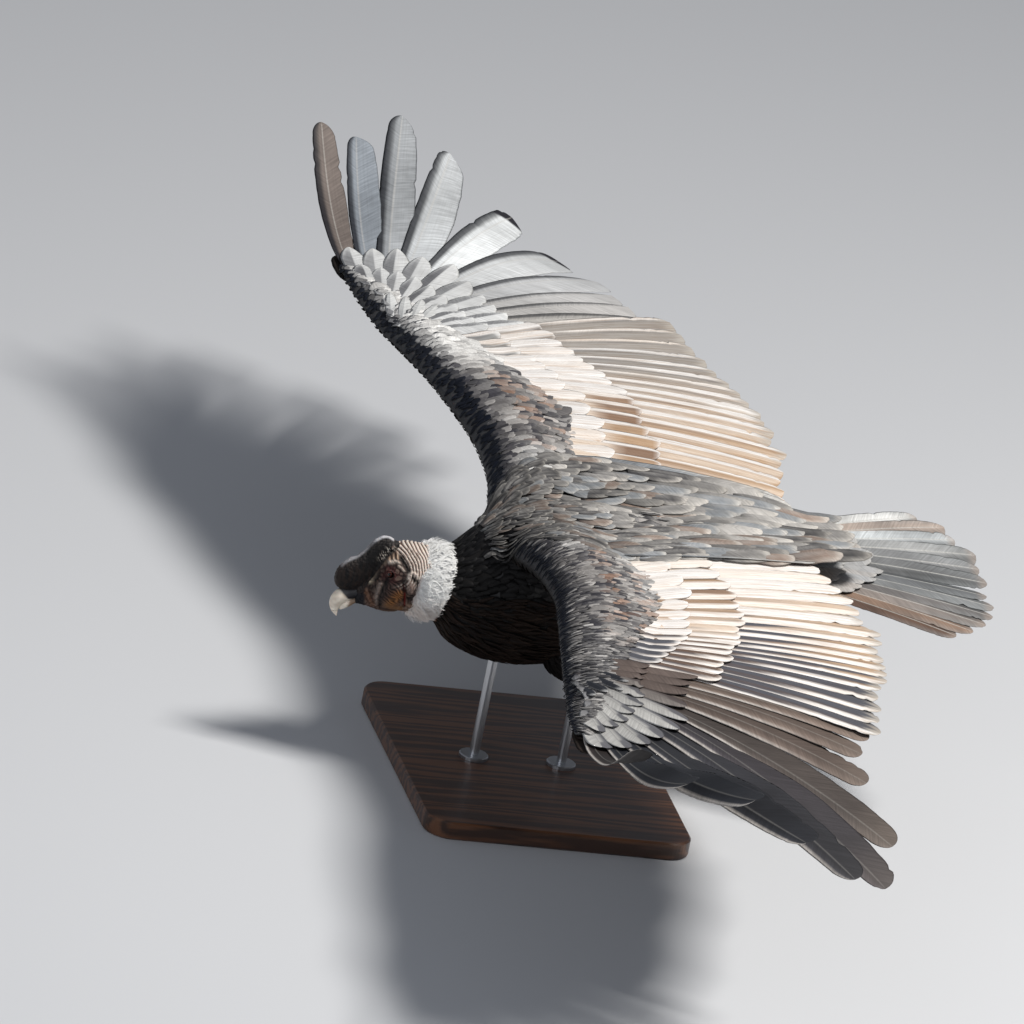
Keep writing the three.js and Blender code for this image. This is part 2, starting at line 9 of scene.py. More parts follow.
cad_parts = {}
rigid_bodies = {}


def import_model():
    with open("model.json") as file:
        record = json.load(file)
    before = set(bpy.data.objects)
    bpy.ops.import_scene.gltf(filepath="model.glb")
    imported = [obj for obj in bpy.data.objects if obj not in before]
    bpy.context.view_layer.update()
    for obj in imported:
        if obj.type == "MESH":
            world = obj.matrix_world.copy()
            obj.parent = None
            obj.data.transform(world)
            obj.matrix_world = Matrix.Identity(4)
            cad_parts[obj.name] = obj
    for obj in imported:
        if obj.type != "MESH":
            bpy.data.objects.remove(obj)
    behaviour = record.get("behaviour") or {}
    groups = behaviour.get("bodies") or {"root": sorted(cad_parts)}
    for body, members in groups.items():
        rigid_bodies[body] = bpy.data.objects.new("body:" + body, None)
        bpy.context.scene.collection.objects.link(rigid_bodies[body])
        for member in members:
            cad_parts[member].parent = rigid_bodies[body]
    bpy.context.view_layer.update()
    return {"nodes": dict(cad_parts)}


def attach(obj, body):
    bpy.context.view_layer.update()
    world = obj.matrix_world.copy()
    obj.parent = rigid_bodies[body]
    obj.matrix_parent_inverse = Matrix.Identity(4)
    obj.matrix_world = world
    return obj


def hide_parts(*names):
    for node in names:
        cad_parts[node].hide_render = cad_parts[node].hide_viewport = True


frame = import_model()
print("packed frame loaded")

shoulder = np.array([0.0, -0.075, 0.42])  # metres; the shapes below are in millimetres from this point
tailRoll = math.radians(10)


# Small helpers

def tint(code):  # a colour from its screen code
    value = np.array([int(code[i:i + 2], 16) for i in (0, 2, 4)]) / 255
    return np.where(value <= 0.04045, value / 12.92, ((value + 0.055) / 1.055) ** 2.4)


def tints(**codes):
    return {name: tint(code) for name, code in codes.items()}


def blend(first, second, share):
    share = np.asarray(share, float)[..., None]
    return first + (second - first) * share


def ramp(low, high, x):
    f = np.clip((np.asarray(x, float) - low) / (high - low), 0, 1)
    return f * f * (3 - 2 * f)


def unit(v):
    return v / np.maximum(np.linalg.norm(v, axis=-1, keepdims=True), 1e-9)


def dot(a, b):
    return np.sum(a * b, axis=-1, keepdims=True)


def stack(*columns):
    return np.stack(columns, -1)


def circle(segments):
    return np.linspace(0, 2 * math.pi, segments, endpoint=False)[None, :]


def mirrored(points, side):
    return points * np.array([side, 1, 1])


def waves(points, size, seed, count=10):  # soft irregular pattern of about -1 to 1
    draw = np.random.default_rng(seed)
    ways = unit(draw.normal(size=(count, points.shape[-1])))
    steps = draw.uniform(0.6, 1.6, count) * 2 * math.pi / size
    starts = draw.uniform(0, 2 * math.pi, count)
    return np.sin((points @ ways.T) * steps + starts).sum(-1) / math.sqrt(count / 2) / 1.6


def through(points, u):  # smooth line through points, straight on past both ends
    points = np.asarray(points, float)
    count = len(points) - 1
    place = np.asarray(u, float) * count
    ends = np.concatenate([[2 * points[0] - points[1]], points, [2 * points[-1] - points[-2]]])
    i = np.clip(np.floor(place).astype(int), 0, count - 1)
    f = (place - i)[..., None]
    a, b, c, d = ends[i], ends[i + 1], ends[i + 2], ends[i + 3]
    line = 0.5 * (2 * b + (c - a) * f + (2 * a - 5 * b + 4 * c - d) * f ** 2 + (3 * b - a - 3 * c + d) * f ** 3)
    start = points[0] + (points[1] - points[0]) * f
    end = points[-1] + (points[-1] - points[-2]) * (f - 1)
    place = place[..., None]
    return np.where(place < 0, start, np.where(place > count, end, line))


def table(rows, samples=240):  # looks up smooth columns by the first one
    fine = through(rows, np.linspace(0, 1, samples))

    def look(x):
        return [np.interp(x, fine[:, 0], fine[:, j]) for j in range(1, fine.shape[1])]
    return look


def listed(values, u):
    return through(np.asarray(values, float)[:, None], u)[..., 0]


# Making meshes from many feathers at once

patternShift = {"step": 137.0, "span": 2000}  # keeps two vanes from carrying the same pattern


def vanes(line, outer, inner, up, lead, trail, columns, thick=0.35, ridge=0.5, droop=0.1, hollow=False):
    top = list(columns[::-1])
    below = [] if hollow else list(columns[1:-1])
    ring = np.array(top + below)
    under = np.array([False] * len(top) + [True] * len(below))
    width = np.where(ring >= 0, lead[..., None], trail[..., None])
    across = np.abs(ring) * width
    side = np.where((ring >= 0)[:, None], outer[:, :, None, :], inner[:, :, None, :])
    edge = 1 - ring ** 2
    raised = thick * edge + ridge * np.exp(-(ring / 0.07) ** 2)
    high = np.where(under, -thick * edge, raised) - droop * np.abs(ring) ** 1.5 * width
    verts = line[:, :, None, :] + side * across[..., None] + up[:, :, None, :] * high[..., None]
    steps = np.linalg.norm(np.diff(line, axis=1), axis=-1)
    apart = (patternShift["step"] * np.arange(len(line)))[:, None] % patternShift["span"]
    along = apart + np.concatenate([np.zeros((len(line), 1)), np.cumsum(steps, axis=1)], axis=1)
    lay = stack(np.sign(ring) * across, np.broadcast_to(along[..., None], across.shape))
    return {"verts": verts, "ring": ring, "under": under, "lay": lay}


def ringFaces(batch):
    n, r, k = batch["verts"].shape[:3]
    first = (np.arange(n) * r * k)[:, None, None]
    i = np.arange(r - 1)[None, :, None]
    j = np.arange(k)[None, None, :]
    a = first + i * k + j
    b = first + i * k + (j + 1) % k
    quads = stack(a, b, b + k, a + k).reshape(-1, 4)
    u = stack(j, j + 1, j + 1, j) / k + np.zeros((n, r - 1, 1, 1))
    v = stack(i, i, i + 1, i + 1) / (r - 1) + np.zeros((n, 1, k, 1))
    caps = np.concatenate([first[:, 0] + np.arange(k)[::-1], first[:, 0] + (r - 1) * k + np.arange(k)])
    points = batch["verts"][0].reshape(-1, 3)
    p = points[quads[:(r - 1) * k]] - points.mean(0)
    volume = np.einsum("ij,ij->i", p[:, 0], np.cross(p[:, 1], p[:, 2]) + np.cross(p[:, 2], p[:, 3])).sum()
    turn = -1 if volume < 0 else 1  # outward faces on either side of the body
    corners = stack(u.reshape(-1, 4), v.reshape(-1, 4))
    return quads[:, ::turn], corners[:, ::turn], np.repeat(np.arange(n), (r - 1) * k), caps[:, ::turn]


def joinBatches(batches, name):
    return np.concatenate([np.broadcast_to(b[name], (*b["verts"].shape[:3], b[name].shape[-1])).reshape(
        -1, b[name].shape[-1]) for b in batches])


def buildPiece(name, batches, material, hides=()):
    quadList, capList, bakes, capBakes = [], [], [], []
    base = 0
    for batch in batches:
        quads, corner, owner, caps = ringFaces(batch)
        quadList.append(quads + base)
        capList.append(caps + base)
        bakes.append((batch["place"][owner][:, None, :] + corner * batch["spread"]).reshape(-1, 2))
        capBakes.append(np.repeat(np.tile(batch["place"], (2, 1)), caps.shape[1], axis=0))
        base += batch["verts"][..., 0].size
    faces = quadList + capList
    facing = joinBatches(batches, "facing") if "facing" in batches[0] else None
    maps = {"lay": joinBatches(batches, "lay") * 0.001, "OFBake": np.concatenate(bakes + capBakes)}
    return meshObject(name, joinBatches(batches, "verts"), np.concatenate([f.reshape(-1) for f in faces]),
                      np.concatenate([np.full(len(f), f.shape[1]) for f in faces]), joinBatches(batches, "tones"),
                      material, hides, maps, facing)


def meshObject(name, points, loops, totals, tones, material, hides=(), maps=None, facing=None):
    mesh = bpy.data.meshes.new(name)
    mesh.vertices.add(len(points))
    mesh.vertices.foreach_set("co", (points * 0.001 + shoulder).astype(np.float32).ravel())
    mesh.loops.add(len(loops))
    mesh.loops.foreach_set("vertex_index", loops.astype(np.int32))
    mesh.polygons.add(len(totals))
    mesh.polygons.foreach_set("loop_start", (np.cumsum(totals) - totals).astype(np.int32))
    mesh.polygons.foreach_set("loop_total", totals.astype(np.int32))
    mesh.update(calc_edges=True)
    mesh.polygons.foreach_set("use_smooth", np.full(len(totals), True))
    if facing is not None:
        mesh.normals_split_custom_set_from_vertices(facing)
    layer = mesh.color_attributes.new("tone", "FLOAT_COLOR", "POINT")
    full = np.ones((len(tones), 4), np.float32)
    full[:, :3] = np.clip(tones, 0, 1)
    layer.data.foreach_set("color", full.ravel())
    if maps:
        for mapName, values in (("lay", maps["lay"][loops]), ("OFBake", maps["OFBake"])):
            mesh.uv_layers.new(name=mapName).data.foreach_set("uv", values.astype(np.float32).ravel())
    piece = bpy.data.objects.new(name, mesh)
    bpy.context.scene.collection.objects.link(piece)
    mesh.materials.append(material)
    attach(piece, "root")
    if hides:
        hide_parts(*hides)
    return piece


# Materials

def newMaterial(name):
    material = bpy.data.materials.new(name)
    material.use_nodes = True
    nodes, links = material.node_tree.nodes, material.node_tree.links

    def fill(node, inputs):  # nodes and sockets are linked, plain values are set on the input itself
        for key, value in inputs.items():
            value = value.outputs[0] if isinstance(value, bpy.types.Node) else value
            if isinstance(value, bpy.types.NodeSocket):
                links.new(value, node.inputs[key])
            else:
                node.inputs[key].default_value = value

    def add(kind, inputs=(), **settings):
        node = nodes.new("ShaderNode" + kind)
        for key, value in settings.items():
            setattr(node, key, value)
        fill(node, dict(inputs))
        return node

    def finish(**inputs):
        fill(nodes["Principled BSDF"], {key.replace("_", " "): value for key, value in inputs.items()})
        return material
    return add, finish


def mapped(add, value, low=0.0, high=1.0, start=0.0, end=1.0):
    return add("MapRange", {0: value, "From Min": low, "From Max": high, "To Min": start, "To Max": end})


def stretchedNoise(add, source, stretch, **inputs):
    stretched = add("VectorMath", {0: source, 1: stretch}, operation="MULTIPLY")
    return add("TexNoise", {"Vector": stretched, "Scale": 1.0, **inputs})


def plumage(name, look, **more):  # vertex tone with barbs, bars and worn streaks that follow each vane
    add, finish = newMaterial(name)
    lay = add("UVMap", uv_map="lay")
    place = add("SeparateXYZ", {0: lay})
    away = add("Math", {0: place.outputs[0]}, operation="ABSOLUTE")
    slant = add("Math", {0: away, 1: -look["slant"], 2: place.outputs[1]}, operation="MULTIPLY_ADD")  # barbs sweep out
    swept = add("CombineXYZ", {0: slant, 1: place.outputs[0]})
    barbs = stretchedNoise(add, swept, (look["barbs"], look["barbs"] * 0.06, 1), Detail=3.0, Roughness=0.6)
    cloud = add("TexNoise", {"Vector": add("TexCoord").outputs["Object"], "Scale": look["cloud"], "Detail": 4.0})
    bars = stretchedNoise(add, swept, (260, 18, 1), Detail=2.0)
    strength = None
    for pattern, key, low, high in ((barbs, "lines", 0.3, 0.7), (cloud, "patches", 0, 1), (bars, "bands", 0.3, 0.7)):
        share = mapped(add, pattern, low, high, 1 - look[key], 1 + look[key])
        strength = add("Math", {0: strength, 1: share}, operation="MULTIPLY") if strength else share
    colour = add("VectorMath", {0: add("VertexColor", layer_name="tone"), "Scale": strength}, operation="SCALE")
    streak = stretchedNoise(add, lay, (look["fine"], 9, 1), Detail=3.0, Roughness=0.6)
    amount = mapped(add, streak, 0.42, 0.72, 0, look["streaks"])
    streaked = add("Mix", {0: amount, 6: colour, 7: (*look["streak"], 1)}, data_type="RGBA", blend_type="MULTIPLY")
    bump = add("Bump", {"Height": barbs, "Strength": look["bump"], "Distance": 0.0004})
    return finish(Base_Color=streaked.outputs[2], Roughness=mapped(add, barbs, 0, 1, *look["rough"]), Normal=bump,
                  Specular_IOR_Level=look["gloss"], Sheen_Weight=look["sheen"], Sheen_Roughness=0.45, **more)


def toned(name, look):  # skin and horn: vertex tone with fine grain
    add, finish = newMaterial(name)
    place = add("TexCoord").outputs["Object"]
    grain = add("TexNoise", {"Vector": place, "Scale": look["grain"], "Detail": 5.0, "Roughness": 0.65})
    pores = add("TexVoronoi", {"Vector": place, "Scale": look["pores"]})
    change = mapped(add, grain, 0, 1, 1 - look["change"], 1 + look["change"])
    colour = add("VectorMath", {0: add("VertexColor", layer_name="tone"), "Scale": change}, operation="SCALE")
    height = add("Math", {0: grain, 1: pores}, operation="ADD")
    bump = add("Bump", {"Height": height, "Strength": look["bump"], "Distance": look["depth"]})
    return finish(Base_Color=colour, Roughness=mapped(add, grain, 0, 1, *look["rough"]), Normal=bump,
                  Subsurface_Weight=look["soft"], Subsurface_Radius=(0.004, 0.0015, 0.001), Subsurface_Scale=0.6,
                  Specular_IOR_Level=look["gloss"])


plumageLooks = {
    "flight": {"slant": 0.9, "barbs": 900, "cloud": 22, "lines": 0.09, "patches": 0.2, "rough": (0.5, 0.66),
               "bump": 0.3, "gloss": 0.22, "sheen": 0.0, "bands": 0.2, "fine": 330, "streaks": 0.22,
               "streak": (0.5, 0.46, 0.43)},
    "white": {"slant": 0.9, "barbs": 800, "cloud": 34, "lines": 0.06, "patches": 0.07, "rough": (0.5, 0.65),
              "bump": 0.3, "gloss": 0.3, "sheen": 0.0, "bands": 0.05, "fine": 360, "streaks": 0.75,
              "streak": (0.56, 0.42, 0.31)},
    "small": {"slant": 0.8, "barbs": 1300, "cloud": 50, "lines": 0.16, "patches": 0.3, "rough": (0.55, 0.75),
              "bump": 0.4, "gloss": 0.16, "sheen": 0.0, "bands": 0.2, "fine": 420, "streaks": 0.3,
              "streak": (0.45, 0.41, 0.4)},
    "dark": {"slant": 0.6, "barbs": 1300, "cloud": 60, "lines": 0.25, "patches": 0.25, "rough": (0.6, 0.8),
             "bump": 0.4, "gloss": 0.12, "sheen": 0.0, "bands": 0.1, "fine": 420, "streaks": 0.4,
             "streak": (0.4, 0.38, 0.36)},
    "down": {"slant": 0.5, "barbs": 1200, "cloud": 50, "lines": 0.03, "patches": 0.04, "rough": (0.85, 0.95),
             "bump": 0.1, "gloss": 0.05, "sheen": 1.0, "bands": 0.0, "fine": 300, "streaks": 0.0,
             "streak": (0.9, 0.9, 0.9)},
}
flightPlumage = plumage("flight plumage", plumageLooks["flight"])
whitePlumage = plumage("white plumage", plumageLooks["white"])
smallPlumage = plumage("covert plumage", plumageLooks["small"])
darkPlumage = plumage("dark plumage", plumageLooks["dark"])
downPlumage = plumage("white down", plumageLooks["down"], Subsurface_Weight=0.3, Subsurface_Scale=1.0,
                      Subsurface_Radius=(0.012, 0.011, 0.01))
bareSkin = toned("bare skin", {"grain": 900, "pores": 1500, "change": 0.3, "rough": (0.42, 0.68), "bump": 0.5,
                               "depth": 0.0006, "soft": 0.08, "gloss": 0.24})
horn = toned("bill horn", {"grain": 350, "pores": 2500, "change": 0.12, "rough": (0.25, 0.42), "bump": 0.15,
                           "depth": 0.0004, "soft": 0.06, "gloss": 0.5})
scaleSkin = toned("leg scales", {"grain": 500, "pores": 420, "change": 0.3, "rough": (0.45, 0.7), "bump": 0.8,
                                 "depth": 0.001, "soft": 0.0, "gloss": 0.4})
eyeGloss = toned("eye", {"grain": 2500, "pores": 4000, "change": 0.15, "rough": (0.08, 0.14), "bump": 0.0,
                         "depth": 0.0001, "soft": 0.0, "gloss": 0.4})
print("materials made")


# Wings: fans of flight feathers

secondaryFan = {
    "roots": [[217, 88, 52], [342, 92, 57], [440, 82, 60], [515, 62, 61], [565, 44, 62], [618, 22, 63]],
    "tips": [[136, 438, 46], [262, 472, 45], [400, 482, 46], [515, 472, 48], [624, 435, 55], [778, 400, 56]],
    "arch": [8, 9, 10], "leads": [24, 25, 28], "trails": [42, 44, 48], "count": 18, "last": 1.05, "rise": 1.3,
    "uneven": 0.014, "ragged": 0.06,
}
primaryFan = {
    "roots": [[676, 2, 64], [696, -7, 63], [718, -16, 62], [742, -25, 60], [768, -34, 59],
              [796, -44, 57], [825, -54, 55], [852, -66, 54], [880, -84, 52], [905, -108, 50]],
    "tips": [[828, 372, 50], [889, 347, 47], [969, 340, 32], [1120, 357, -8], [1243, 323, -29],
             [1315, 249, 12], [1372, 142, 89], [1365, 48, 150], [1290, -43, 135], [1251, -116, 170]],
    "arch": [12, 14, 16, 24, 34, 22, -8, -26, -29, -38],
    "leads": [27, 28, 28, 27, 28, 28, 25, 24, 20, 20],
    "trails": [58, 50, 48, 48, 46, 42, 46, 41, 35, 29], "count": 10,
    "turns": {1: [0, 0, 0, 10, 24, 36, 46, 50, 50, 35], -1: [0, 0, 0, 0, 0, 0, 0, 8, 20, 25]},
}
tertialFan = {
    "roots": [[96, 0, 30], [120, 34, 42], [146, 60, 52], [170, 76, 57], [192, 86, 60]],
    "tips": [[26, 310, 52], [44, 396, 49], [70, 444, 47], [97, 453, 47], [119, 438, 50]],
    "arch": [6, 6], "leads": [25, 25], "trails": [27, 27], "count": 7,
}
tailFan = {
    "roots": [[9, 446, 8], [38, 440, 8], [68, 418, 6]],
    "tips": [[20, 767, -20], [62, 764, -16], [106, 751, -11], [144, 718, -6], [170, 676, -3]],
    "arch": [4, 4], "leads": [24, 25, 25, 22], "trails": [19, 30, 34, 34], "count": 6, "uneven": 0.02, "ragged": 0.09,
}
vaneColumns = {
    "flight": np.array([-1, -0.9, -0.7, -0.45, -0.2, -0.07, 0, 0.1, 0.3, 0.6, 0.85, 1]),
    "cover": np.array([-1, -0.75, -0.4, -0.08, 0, 0.08, 0.4, 0.75, 1]),
    "cape": np.array([-1, -0.8, -0.45, 0, 0.45, 0.8, 1]), "round": np.array([-1, -0.6, 0, 0.6, 1]),
    "tuft": np.array([-1, 0, 1]),
}


def fanLine(fan, u, t):
    u = np.asarray(u, float)
    roots = through(fan["roots"], u)[:, None, :]
    tips = through(fan["tips"], u)[:, None, :]
    t = np.broadcast_to(t, (len(u), np.shape(t)[-1]))
    line = roots + (tips - roots) * t[..., None]
    line[..., 2] += 4 * t * (1 - t) * listed(fan["arch"], u)[:, None]
    return line


def webs(lineAt, u, step, t, rise=2.4, steepest=0.35):  # each vane rises over its neighbour
    line = lineAt(u, t)
    along = unit(np.gradient(line, axis=1))
    found = []
    for side in (1, -1):
        across = lineAt(u + side * step, t) - line
        across -= along * dot(across, along)
        pitch = np.linalg.norm(across, axis=-1, keepdims=True)
        tilt = np.minimum(np.arctan(rise / pitch), steepest)
        level = across / pitch
        up = np.cross(level, along) * side
        found.append((level * np.cos(tilt) + up * np.sin(tilt) * side, up))
    return line, found[0][0], found[1][0], unit(found[0][1] + found[1][1])


def rowPlaces(body, tip, start, last, power):  # rows along a vane, closer toward its tip
    rounded = 1 - (1 - start) * np.linspace(1, last, tip) ** power
    return np.concatenate([np.linspace(0, start, body, endpoint=False), rounded])


def roundTip(t, start, power=2.0):
    f = np.clip((t - start) / (1 - start), 0, 1)
    return np.sqrt(np.clip(1 - f ** power, 0.0004, 1))


def worn(shape, t, amount, splits, deepest, draw):  # frayed edge with splits between barbs
    edge = 1 - amount * draw.random(shape)
    for _ in range(splits):
        at = draw.uniform(0.72, 0.99, (shape[0], 1))
        deep = draw.uniform(0.05, deepest, (shape[0], 1)) * (draw.random((shape[0], 1)) < 0.7)
        wide = draw.uniform(0.008, 0.022, (shape[0], 1))
        f = (t[None, :] - at) / wide
        edge -= deep * np.where((f > 0) & (f < 1), 1 - f, 0) * (f < 1)
    return edge


def turned(fan, side, u, t, outer, inner, up):  # slotted primaries turn their leading edge down
    if "turns" not in fan:
        return outer, inner, up
    angle = np.radians(listed(fan["turns"][side], u))[:, None, None] * ramp(0.28, 0.7, t)[None, :, None]
    lowered, raised = outer * np.cos(angle) - up * np.sin(angle), inner * np.cos(angle) + up * np.sin(angle)
    return lowered, raised, up * np.cos(angle) + outer * np.sin(angle)


def finishVanes(batch, u, t, side, draw, tone, turn):  # each big feather gets its own strip of the bake map
    count, total = len(u), 2 * len(u)
    batch["verts"] = turn(batch["verts"], side)
    u3, t3, c = u[:, None, None], t[None, :, None], batch["ring"][None, None, :]
    batch["tones"] = tone(u3, t3, c, batch["under"], draw, side)
    batch["place"] = stack((np.arange(count) + (0 if side > 0 else count)) / total, np.zeros(count))
    batch["spread"] = np.array([0.96 / total, 0.98])
    return batch


def flightBatch(fan, side, draw, profile, tipStart, tone, edges, turn):
    count = fan["count"]
    u = np.linspace(0, fan.get("last", 1), count)
    t = rowPlaces(34, 14, 0.86, 0.02, 1.8)
    uneven = 1 + fan.get("uneven", 0) * draw.normal(size=(count, 1))

    def lineAt(places, rows):
        return fanLine(fan, places, rows * uneven)
    line, outer, inner, up = webs(lineAt, u, 1 / (count - 1), t, fan.get("rise", 2.4))
    outer, inner, up = turned(fan, side, u, t, outer, inner, up)
    starts = tipStart - fan.get("ragged", 0) * draw.random((2, count, 1))
    lead, trail = (listed(fan[key], u)[:, None] * np.interp(t, *profile) * worn(line.shape[:2], t, *edges, draw)
                   * roundTip(t[None, :], start) for key, start in zip(("leads", "trails"), starts))
    batch = vanes(line, outer, inner, up, lead, trail, vaneColumns["flight"])
    return finishVanes(batch, u, t, side, draw, tone, turn)


def bothSides(fan, profile, tipStart, tone, edges, seed, turn=mirrored):
    return [flightBatch(fan, side, np.random.default_rng(seed + side), profile, tipStart, tone, edges, turn)
            for side in (1, -1)]


whites = tints(white="efedeb", cream="e3d5c6", tan="ba9e82", brown="8a7160", slate="52545c", grey="8f8f8e",
               worn="b7b2aa", under="55504c", warm="5f4a3d")


def stripes(u, t, c, draw, edges, base, softer):  # white from the leading rim in to an edge, then the base colour
    jitter = draw.normal(size=u.shape)
    wobble = 0.06 * np.sin(t * draw.uniform(5, 12, u.shape) + 6 * jitter)
    edge = np.interp(u, *edges) - 0.5 * (t - 0.65) * ramp(0.3, 0.6, u) + (0.16 * jitter + wobble) * ramp(1.0, 0.6, u)
    edge = np.minimum(edge, 0.78)
    white = blend(whites["white"], whites["cream"], np.clip(0.15 + 0.25 * jitter, 0, 0.6))
    tone = blend(base, white, ramp(-softer, softer, c - edge))
    # a thin dark line just inside the pale edge: painted shadow cast by the next feather's overlapping rim
    line = np.exp(-((c - edge + 0.16) / 0.07) ** 2) * ramp(0.15, 0.4, u)
    return blend(tone, whites["slate"], 0.4 * line) * (1 + 0.04 * jitter[..., None])


def slateShare(u, t, c, draw):  # dark from the base, narrowing away from the leading rim toward the tip
    reach = np.interp(u, [0.3, 0.42, 0.55, 0.75, 1], [0.35, 0.8, 1.05, 1.5, 3.0])
    reach = reach * (1 + 0.1 * draw.normal(size=u.shape))
    return ramp(-0.16, 0.16, 0.85 - 1.7 * (t / reach) ** 1.6 - c) * ramp(0.28, 0.42, u)


def secondaryTone(u, t, c, under, draw, side):
    brown = np.clip(0.3 + 0.3 * draw.normal(size=u.shape), 0, 1)
    tan = blend(whites["tan"], whites["brown"], brown * ramp(0.9, 0.5, t))
    creamy = 0.75 * ramp(0.6, 0.3, u) if side > 0 else 0.35 * ramp(0.2, 0.5, u)
    tan = blend(tan, whites["cream"], creamy * np.clip(0.8 + 0.5 * draw.normal(size=u.shape), 0, 1))
    if side > 0:
        edges = ([0, 0.15, 0.3, 0.42, 0.5, 0.65, 0.8, 1], [-0.9, -0.5, -0.05, 0.1, 0.24, 0.4, 0.55, 0.62])
        slate = blend(whites["slate"], whites["warm"], 0.75 * np.exp(-((c - 0.42) / 0.16) ** 2))
        base = blend(tan, slate, slateShare(u, t, c, draw))
    else:
        edges = ([0, 0.12, 0.3, 0.5, 0.7, 1], [0.5, 0.4, 0.1, 0.1, 0.3, 0.5])
        tan = blend(tan, whites["cream"], np.clip(0.35 + 0.4 * np.sin(5 * c + 7 * draw.normal(size=u.shape)), 0, 1))
        base = blend(tan, whites["grey"], ramp(0.4, 0.8, u) * 0.8)
    tone = stripes(u, t, c, draw, edges, base, 0.05)
    tone = blend(tone, whites["worn"], ramp(0.93, 0.985, t + 0.02 * np.sin(9 * c)) * 0.8 * ramp(0.1, 0.4, u))
    return blend(tone, whites["under"], under * 0.85)


# The far wing's list (-1) is painted silver: painted sheen where the light glances off the raised far hand. The near
# wing's list (1) is darker and has none.
primaryTones = {  # one tone a feather from the body out, and what they share
    -1: ["a8a5a1", "acaaa8", "b2b1b0", "b8b9ba", "c2c4c5", "dcdfe0", "b7babc", "939699", "868c93", "6e6560"],
    1: ["7a6b62", "73655d", "6a5d56", "5a524e", "4a464a", "3d3d42", "34353a", "2e3036", "2a2c32", "332d2c"],
    **tints(lead="1d1f26", shaft="c9c6c0", rim="c4beb8", under="2d2a29", tip="26242a", worn="8f8278"),
}


def eachTone(codes):
    return np.array([tint(code) for code in codes])[:, None, None, :]


def primaryTone(u, t, c, under, draw, side):
    # the far side is painted lighter still: painted sheen
    tone = eachTone(primaryTones[side]) * (1.1 if side < 0 else 1.0)
    tone = tone * (1 + 0.12 * np.sin(t * 9 + 7 * u + c))[..., None]
    if side < 0:
        # outer web darkened toward the leading edge: painted shade, as that vane faces away from the light
        tone = blend(tone, primaryTones["lead"], ramp(0.3, 0.55, c - 0.15 * t) * (0.75 + 0.15 * ramp(0.2, 0.5, u)))
        oblique = ramp(0.93, 0.95, t + 0.03 * c) * ((u > 0.4) & (u < 0.6))
        tone = blend(tone, primaryTones["tip"], oblique)
    else:
        tone = tone * (1 - 0.45 * ramp(0.75, 0.1, c))[..., None]
        tone = blend(tone, primaryTones["worn"], 0.3 * ramp(0.8, 1, t) * ramp(0.6, 0.3, u))
        # a pale line along the leading edge of the near primaries: painted rim highlight
        tone = blend(tone, primaryTones["rim"], 0.9 * ramp(0.76, 0.88, c) * ramp(0.95, 0.4, t * ramp(0.8, 0.4, u)))
    tone = blend(tone, primaryTones["shaft"], (np.abs(c) < 0.04) * (0.4 if side < 0 else 0.14))
    return blend(tone, primaryTones["under"], under * 0.85)


longProfile = ([0, 0.12, 0.3, 0.6, 0.85, 1], [0.3, 0.6, 0.86, 1, 0.96, 0.8])
broadProfile = ([0, 0.15, 0.45, 0.8, 1], [0.4, 0.75, 1, 0.98, 0.85])
buildPiece("primaries", bothSides(primaryFan, longProfile, 0.945, primaryTone, (0.03, 3, 0.2), 21),
           flightPlumage, ("wing_left_hand", "wing_right_hand"))
buildPiece("secondaries", bothSides(secondaryFan, broadProfile, 0.965, secondaryTone, (0.06, 7, 0.35), 31),
           whitePlumage, ("wing_left_arm", "wing_right_arm"))
print("flight feathers laid")

greys = tints(dark="4c4b4c", grey="7d7b79", blue="83878b", brown="85756b", pale="a8a5a1", rim="cbc6be")


def pick(tones, shares, draw):  # one of several colours for each feather
    order = np.cumsum(shares / shares.sum(-1, keepdims=True), -1)
    chance = draw.random(len(order))
    return np.asarray(tones)[(chance[:, None] > order).sum(-1).clip(0, len(tones) - 1)]


def scalloped(base, t, c, draw, rim):  # pale crescent round the tip, and painted shade toward the base, under the next feather
    tone = blend(base[:, None, None, :], greys["dark"], 0.5 * ramp(0.6, 0.15, t))
    edge = np.maximum(ramp(0.55, 0.95, np.abs(c)) * ramp(0.35, 0.7, t), ramp(0.78, 0.95, t))
    tone = blend(tone, greys["rim"], rim * edge)
    tone = blend(tone, greys["pale"], 0.35 * (np.abs(c) < 0.05) * ramp(0.9, 0.5, t))
    return tone * (1 + 0.16 * draw.normal(size=(len(base), 1, 1))[..., None])


def tertialTone(u, t, c, under, draw, side):
    base = pick([greys[k] for k in ("grey", "blue", "brown", "dark")], np.tile([3, 3, 2, 2], (len(u), 1)), draw)
    return scalloped(base, t, c, draw, 0.55)


buildPiece("tertials", bothSides(tertialFan, broadProfile, 0.88, tertialTone, (0.06, 4, 0.3), 41),
           smallPlumage)


def rollTail(points, side):
    x, y, z = points[..., 0] * side, points[..., 1], points[..., 2]
    turn, lift = math.cos(tailRoll), math.sin(tailRoll)
    return stack(x * turn + z * lift, y, z * turn - x * lift)


# The far side's list (-1) is lighter: partly the feathers' own silver, partly painted light that offsets the shade the
# far half gets from the key.
tailTones = {
    -1: ["6b6c6d", "828384", "9a9b9b", "b5b9bb", "a3968d", "cdcdcb"],
    1: ["66686a", "7a7c7d", "6d6a69", "827a75", "806b5d", "5e4a3f"],
    **tints(shaft="bdbcb7", worn="a39489", dark="2e3032", streak="8b8f90"),
}


